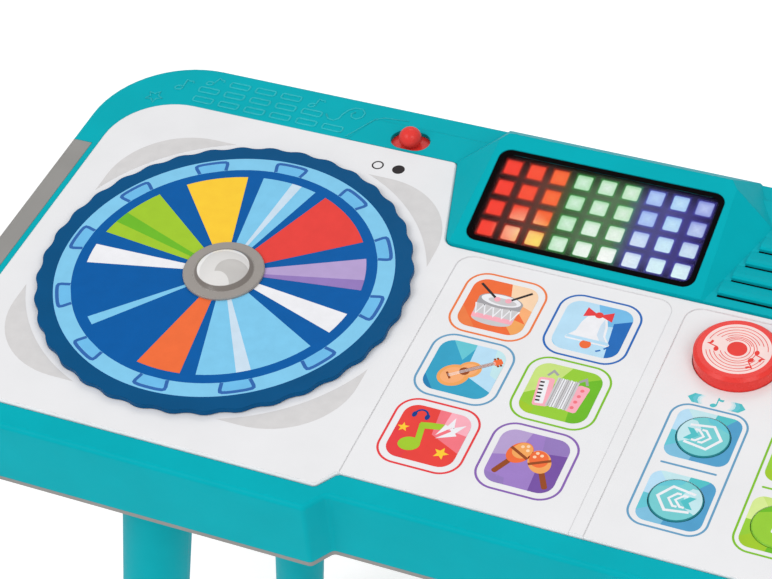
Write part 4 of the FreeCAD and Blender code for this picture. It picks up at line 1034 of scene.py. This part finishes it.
def lit_tiles():
    """Frosted tiles lit from below: red, pale green and pale blue from left to right."""
    finish = LitFinish("lit_tiles", (8, 8, 8), 0.5)
    colour = finish.columns([
        (246, 64, 48), (248, 76, 52), (248, 100, 54), (176, 226, 180), (190, 232, 194),
        (188, 230, 190), (160, 184, 240), (168, 206, 246), (146, 158, 224),
    ])
    pale = finish.columns([
        (250, 70, 56), (252, 88, 60), (252, 118, 66), (214, 244, 220), (224, 244, 228),
        (222, 244, 224), (184, 212, 250), (194, 228, 252), (190, 202, 244),
    ])
    centre = finish.spread(finish.math("MAXIMUM", finish.wide, finish.tall), 1.0, 0.0, 0.2, 4.2)
    colour = finish.blend(centre, colour, pale)
    reds = finish.math("LESS_THAN", finish.across, RED_END)
    others = finish.math("SUBTRACT", 1.0, reds)
    pink = finish.math("MULTIPLY", finish.near(0.20, 0.18, 0.13, reds), 0.85)
    colour = finish.blend(pink, colour, (255, 214, 172))
    colour = finish.blend(finish.near(0.295, 0.09, 0.13, reds), colour, (255, 226, 110))
    colour = finish.blend(finish.near(0.60, 0.04, 0.27, others), colour, (253, 255, 252))
    colour = finish.blend(finish.near(0.92, 0.06, 0.30, others), colour, (226, 252, 252))
    to_edge = finish.math("MAXIMUM", finish.math("ADD", finish.wide, 0.3), finish.tall)
    colour = finish.blend(finish.spread(to_edge, 0.0, 0.55, 3.7, 4.15), colour, finish.ramp(GLOW_STOPS))
    crown = finish.spread(finish.height, 0.0, 0.34, 0.68, 0.86)
    colour = finish.blend(crown, colour, finish.ramp(GLOW_STOPS))
    finish.glow(colour, finish.noise(900.0, 2.0), 0.94, 1.03)
    return finish.material


def lit_haze():
    """Dark diffuser between the tiles that takes on the colour of the light beside it."""
    finish = LitFinish("lit_haze", (6, 5, 6), 0.6)
    colour = finish.ramp([
        (0.0, (26, 10, 10)), (0.06, (60, 26, 24)), (0.20, (96, 54, 48)), (0.31, (92, 70, 52)),
        (0.36, (66, 96, 60)), (0.50, (90, 114, 86)), (0.61, (84, 116, 82)),
        (0.68, (76, 78, 122)), (0.82, (78, 74, 138)), (0.94, (58, 50, 120)), (1.0, (26, 20, 60)),
    ])
    colour = finish.blend(finish.between(finish.up, -0.05, 0.16, 0.80, 1.04), (6, 4, 5), colour)
    past_x = finish.math("SUBTRACT", finish.wide, TILE_HALF_X)
    past_y = finish.math("SUBTRACT", finish.tall, TILE_HALF_Y)
    near_tile = finish.spread(finish.math("MAXIMUM", past_x, past_y), 0.5, 0.0, -0.1, 1.2)
    colour = finish.blend(near_tile, colour, finish.ramp(GLOW_STOPS))
    inside_x = finish.between(finish.across, -0.022, -0.004, 1.004, 1.022)
    inside_y = finish.between(finish.up, -0.02, -0.002, 1.002, 1.02)
    colour = finish.blend(finish.math("MULTIPLY", inside_x, inside_y), (5, 4, 5), colour)
    finish.glow(colour, finish.noise(220.0, 2.0), 0.85, 1.05)
    return finish.material


def display_piece(name, parts, material, low, high):
    """Closed plates between two heights over the plane of the display. Each part is a list of loops."""
    sheet = Print(name, "console", 0.0)
    for loops in parts:
        sheet.plate(loops, material, low, high)
    made = sheet.finish()
    made.matrix_world = display_plane @ made.matrix_world


tile_loops = [
    rounded((column - 4) * LIGHT_PITCH_X, (row - 1.5) * LIGHT_PITCH_Y, TILE_HALF_X, TILE_HALF_Y, 1.1, 5)
    for column in range(COLUMNS) for row in range(ROWS)
]
haze_loops = [rounded(0, 0, 54.6, 26.2, 4.6)] + tile_loops
border_loops = [
    rounded(0, 0, WINDOW_HALF_X - 0.3, WINDOW_HALF_Y - 0.3, 5.7, 10),
    rounded(0, 0, 53.2, 24.6, 4.4),
]
haze_material = lit_haze()
display_piece("display_tiles", [[loop] for loop in tile_loops], lit_tiles(), -2.6, -1.95)
display_piece("display_haze", [haze_loops], haze_material, -2.5, -1.9)
display_piece("window_border", [border_loops], INK["border"], -0.32, -0.22)

# Painted shade: dark strips inside the speaker's slots, standing in for the shade in the openings.

slot_shade_finish = Finish("slot_painted_shade", (9, 11, 12), 0.9, 0.05)
slot_shade_finish.grain(1500.0, 0.5, 0.0002)
slot_shade = Print("slot_painted_shade", "console", 0.0)
SLOT_SHADE_HALF_X, SLOT_SHADE_HALF_Y = 50.6, 0.72
for i in range(5):
    slot_y = 47.3 + 11.1 * i
    strip = rounded(61.8 + (slot_y - 41.5) * 0.24, slot_y, SLOT_SHADE_HALF_X, SLOT_SHADE_HALF_Y, 0.3, 3)
    slot_shade.plate(strip, slot_shade_finish.material, 428.4, 430.4)
slot_shade.finish()


# Low relief on the back rim: beads that outline bars, notes, a star and a curl.

class Relief(Print):
    """Beads of half-round section that follow paths on a level surface."""

    SECTION = ((-0.5, -0.15), (-0.42, 0.55), (-0.18, 0.94), (0.18, 0.94), (0.42, 0.55), (0.5, -0.15))

    def bead(self, path, width=0.9, height=0.42, closed=True):
        path = clean(path)
        count = len(path)
        rings = []
        for i, (x, y) in enumerate(path):
            before = path[i - 1] if (i or closed) else path[i]
            after = path[(i + 1) % count] if (i < count - 1 or closed) else path[i]
            along = Vector((after[0] - before[0], after[1] - before[1])).normalized() * width
            ring = []
            for side, up in self.SECTION:
                point = Vector((x - along.y * side, y + along.x * side, self.top + up * height))
                ring.append(self.mesh.verts.new(point * MM))
            rings.append(ring)
        size = len(self.SECTION)
        for i in range(count if closed else count - 1):
            a, b = rings[i], rings[(i + 1) % count]
            for j in range(size):
                k = (j + 1) % size
                self.mesh.faces.new((a[j], b[j], b[k], a[k]))
        if not closed:
            self.mesh.faces.new(rings[0])
            self.mesh.faces.new(rings[-1][::-1])

    def finish(self):
        bmesh.ops.recalc_face_normals(self.mesh, faces=self.mesh.faces)
        super().finish().data.shade_smooth()


RIM_TOP = 428.7
BAR_STEP, BAR_HALF_X, BAR_HALF_Y = 14.35, 5.3, 1.9
relief = Relief("rim_relief", "console", RIM_TOP)
# The beads take a lighter teal than the rim they are moulded from: painted light that makes them read as
# lit ridges.
relief.materials.append(moulded("teal_relief_painted_light", (34, 190, 198), 0.34, 0.3, 0.02, 0.10))
for row_y, first, number in ((118.8, -260.4, 3), (111.1, -274.4, 5), (103.5, -274.1, 6)):
    for i in range(number):
        relief.bead(rounded(first + BAR_STEP * i, row_y, BAR_HALF_X, BAR_HALF_Y, 1.1, 4))


def relief_note(cx, cy, size, turn):
    relief.bead(moved(ellipse(0, 0, 0.95, 0.72, 20, 20), cx, cy, turn, size))
    stem = [(0.85, 0.2), (1.15, 1.4), (1.45, 3.0), (2.3, 2.5), (3.0, 2.6), (3.3, 1.9)]
    relief.bead(moved(stem, cx, cy, turn, size), closed=False)


relief_note(-290.5, 109.0, 2.1, 12.0)
relief_note(-276.5, 116.6, 1.9, -8.0)
relief_note(-219.4, 116.4, 1.8, 6.0)
relief.bead(star(-299.4, 98.6, 4.6, 2.1, 70.0))
relief.bead([
    (-209.6, 112.4), (-207.6, 109.6), (-204.4, 108.9), (-202.2, 111.0), (-201.6, 114.6), (-200.0, 118.4),
    (-197.2, 121.0), (-193.6, 121.2), (-191.2, 118.8), (-191.4, 115.4), (-193.8, 113.2), (-196.8, 114.0),
    (-197.6, 116.4), (-196.0, 118.0),
], closed=False)
apron_line = [(-193.6, 99.4), (-184.6, 115.9), (-180.2, 118.4), (-168.0, 119.6)]
relief.bead(apron_line, 0.7, 0.3, closed=False)
relief.finish()

scene.view_settings.view_transform = "Standard"


# Light and surroundings.

LAMP_TARGET = Vector((0.0, 0.0, 0.43))


def lamp(name, place, size, power):
    data = bpy.data.lights.new(name, "AREA")
    data.shape = "RECTANGLE"
    data.size, data.size_y = size
    data.energy = power
    made = bpy.data.objects.new(name, data)
    made.location = place
    made.rotation_euler = (LAMP_TARGET - Vector(place)).to_track_quat("-Z", "Y").to_euler()
    scene.collection.objects.link(made)


lamp("key_light", (-1.1, -1.4, 2.2), (1.2, 1.2), 18.5)
lamp("fill_light", (1.5, -1.1, 2.1), (1.2, 1.2), 14.2)
lamp("back_light", (-0.4, 1.9, 2.3), (1.6, 0.8), 7.0)

# The surroundings light the part softly. Seen directly or through the window they are plain white.
WHITE = (1.0, 1.0, 1.0, 1.0)
WORLD_LIGHT, WORLD_SEEN = 0.59, 1.0
world = bpy.data.worlds.new("studio")
scene.world = world
world.use_nodes = True
tree = world.node_tree
tree.nodes.clear()
either = tree.nodes.new("ShaderNodeMixShader")
for socket, strength in ((1, WORLD_LIGHT), (2, WORLD_SEEN)):
    background = tree.nodes.new("ShaderNodeBackground")
    background.inputs["Color"].default_value = WHITE
    background.inputs["Strength"].default_value = strength
    tree.links.new(background.outputs[0], either.inputs[socket])
seen = tree.nodes.new("ShaderNodeMath")
seen.operation = "MAXIMUM"
rays = tree.nodes.new("ShaderNodeLightPath")
tree.links.new(rays.outputs["Is Camera Ray"], seen.inputs[0])
tree.links.new(rays.outputs["Is Transmission Ray"], seen.inputs[1])
tree.links.new(seen.outputs[0], either.inputs["Fac"])
out = tree.nodes.new("ShaderNodeOutputWorld")
tree.links.new(either.outputs[0], out.inputs["Surface"])

# A white floor, clear from below and for rays that start where a foot touches it.
FLOOR_LIFT, TOUCH = 0.26, 0.001
FLOOR_HALF = 6
floor_data = bpy.data.meshes.new("floor")
corners = box(-FLOOR_HALF, -FLOOR_HALF, FLOOR_HALF, FLOOR_HALF)
floor_data.from_pydata([(x, y, 0) for x, y in corners], [], [(0, 1, 2, 3)])
finish = Finish("floor_white", (252, 252, 252), 0.9, 0.0)
finish.tint(2.0, 0.004)
finish.set("Emission Color", WHITE)
rays = finish.node("ShaderNodeLightPath")
lift = finish.math("MULTIPLY", rays.outputs["Is Camera Ray"], FLOOR_LIFT)
finish.link(lift, finish.shader.inputs["Emission Strength"])
underside = finish.node("ShaderNodeNewGeometry").outputs["Backfacing"]
touching = finish.math("LESS_THAN", rays.outputs["Ray Length"], TOUCH)
surface = finish.node("ShaderNodeMixShader")
finish.link(finish.math("MAXIMUM", underside, touching), surface.inputs["Fac"])
finish.link(finish.shader.outputs["BSDF"], surface.inputs[1])
finish.link(finish.node("ShaderNodeBsdfTransparent").outputs["BSDF"], surface.inputs[2])
finish.link(surface.outputs["Shader"], finish.tree.nodes["Material Output"].inputs["Surface"])
floor_data.materials.append(finish.material)
floor = bpy.data.objects.new("floor", floor_data)
scene.collection.objects.link(floor)
floor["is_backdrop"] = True

low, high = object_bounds()
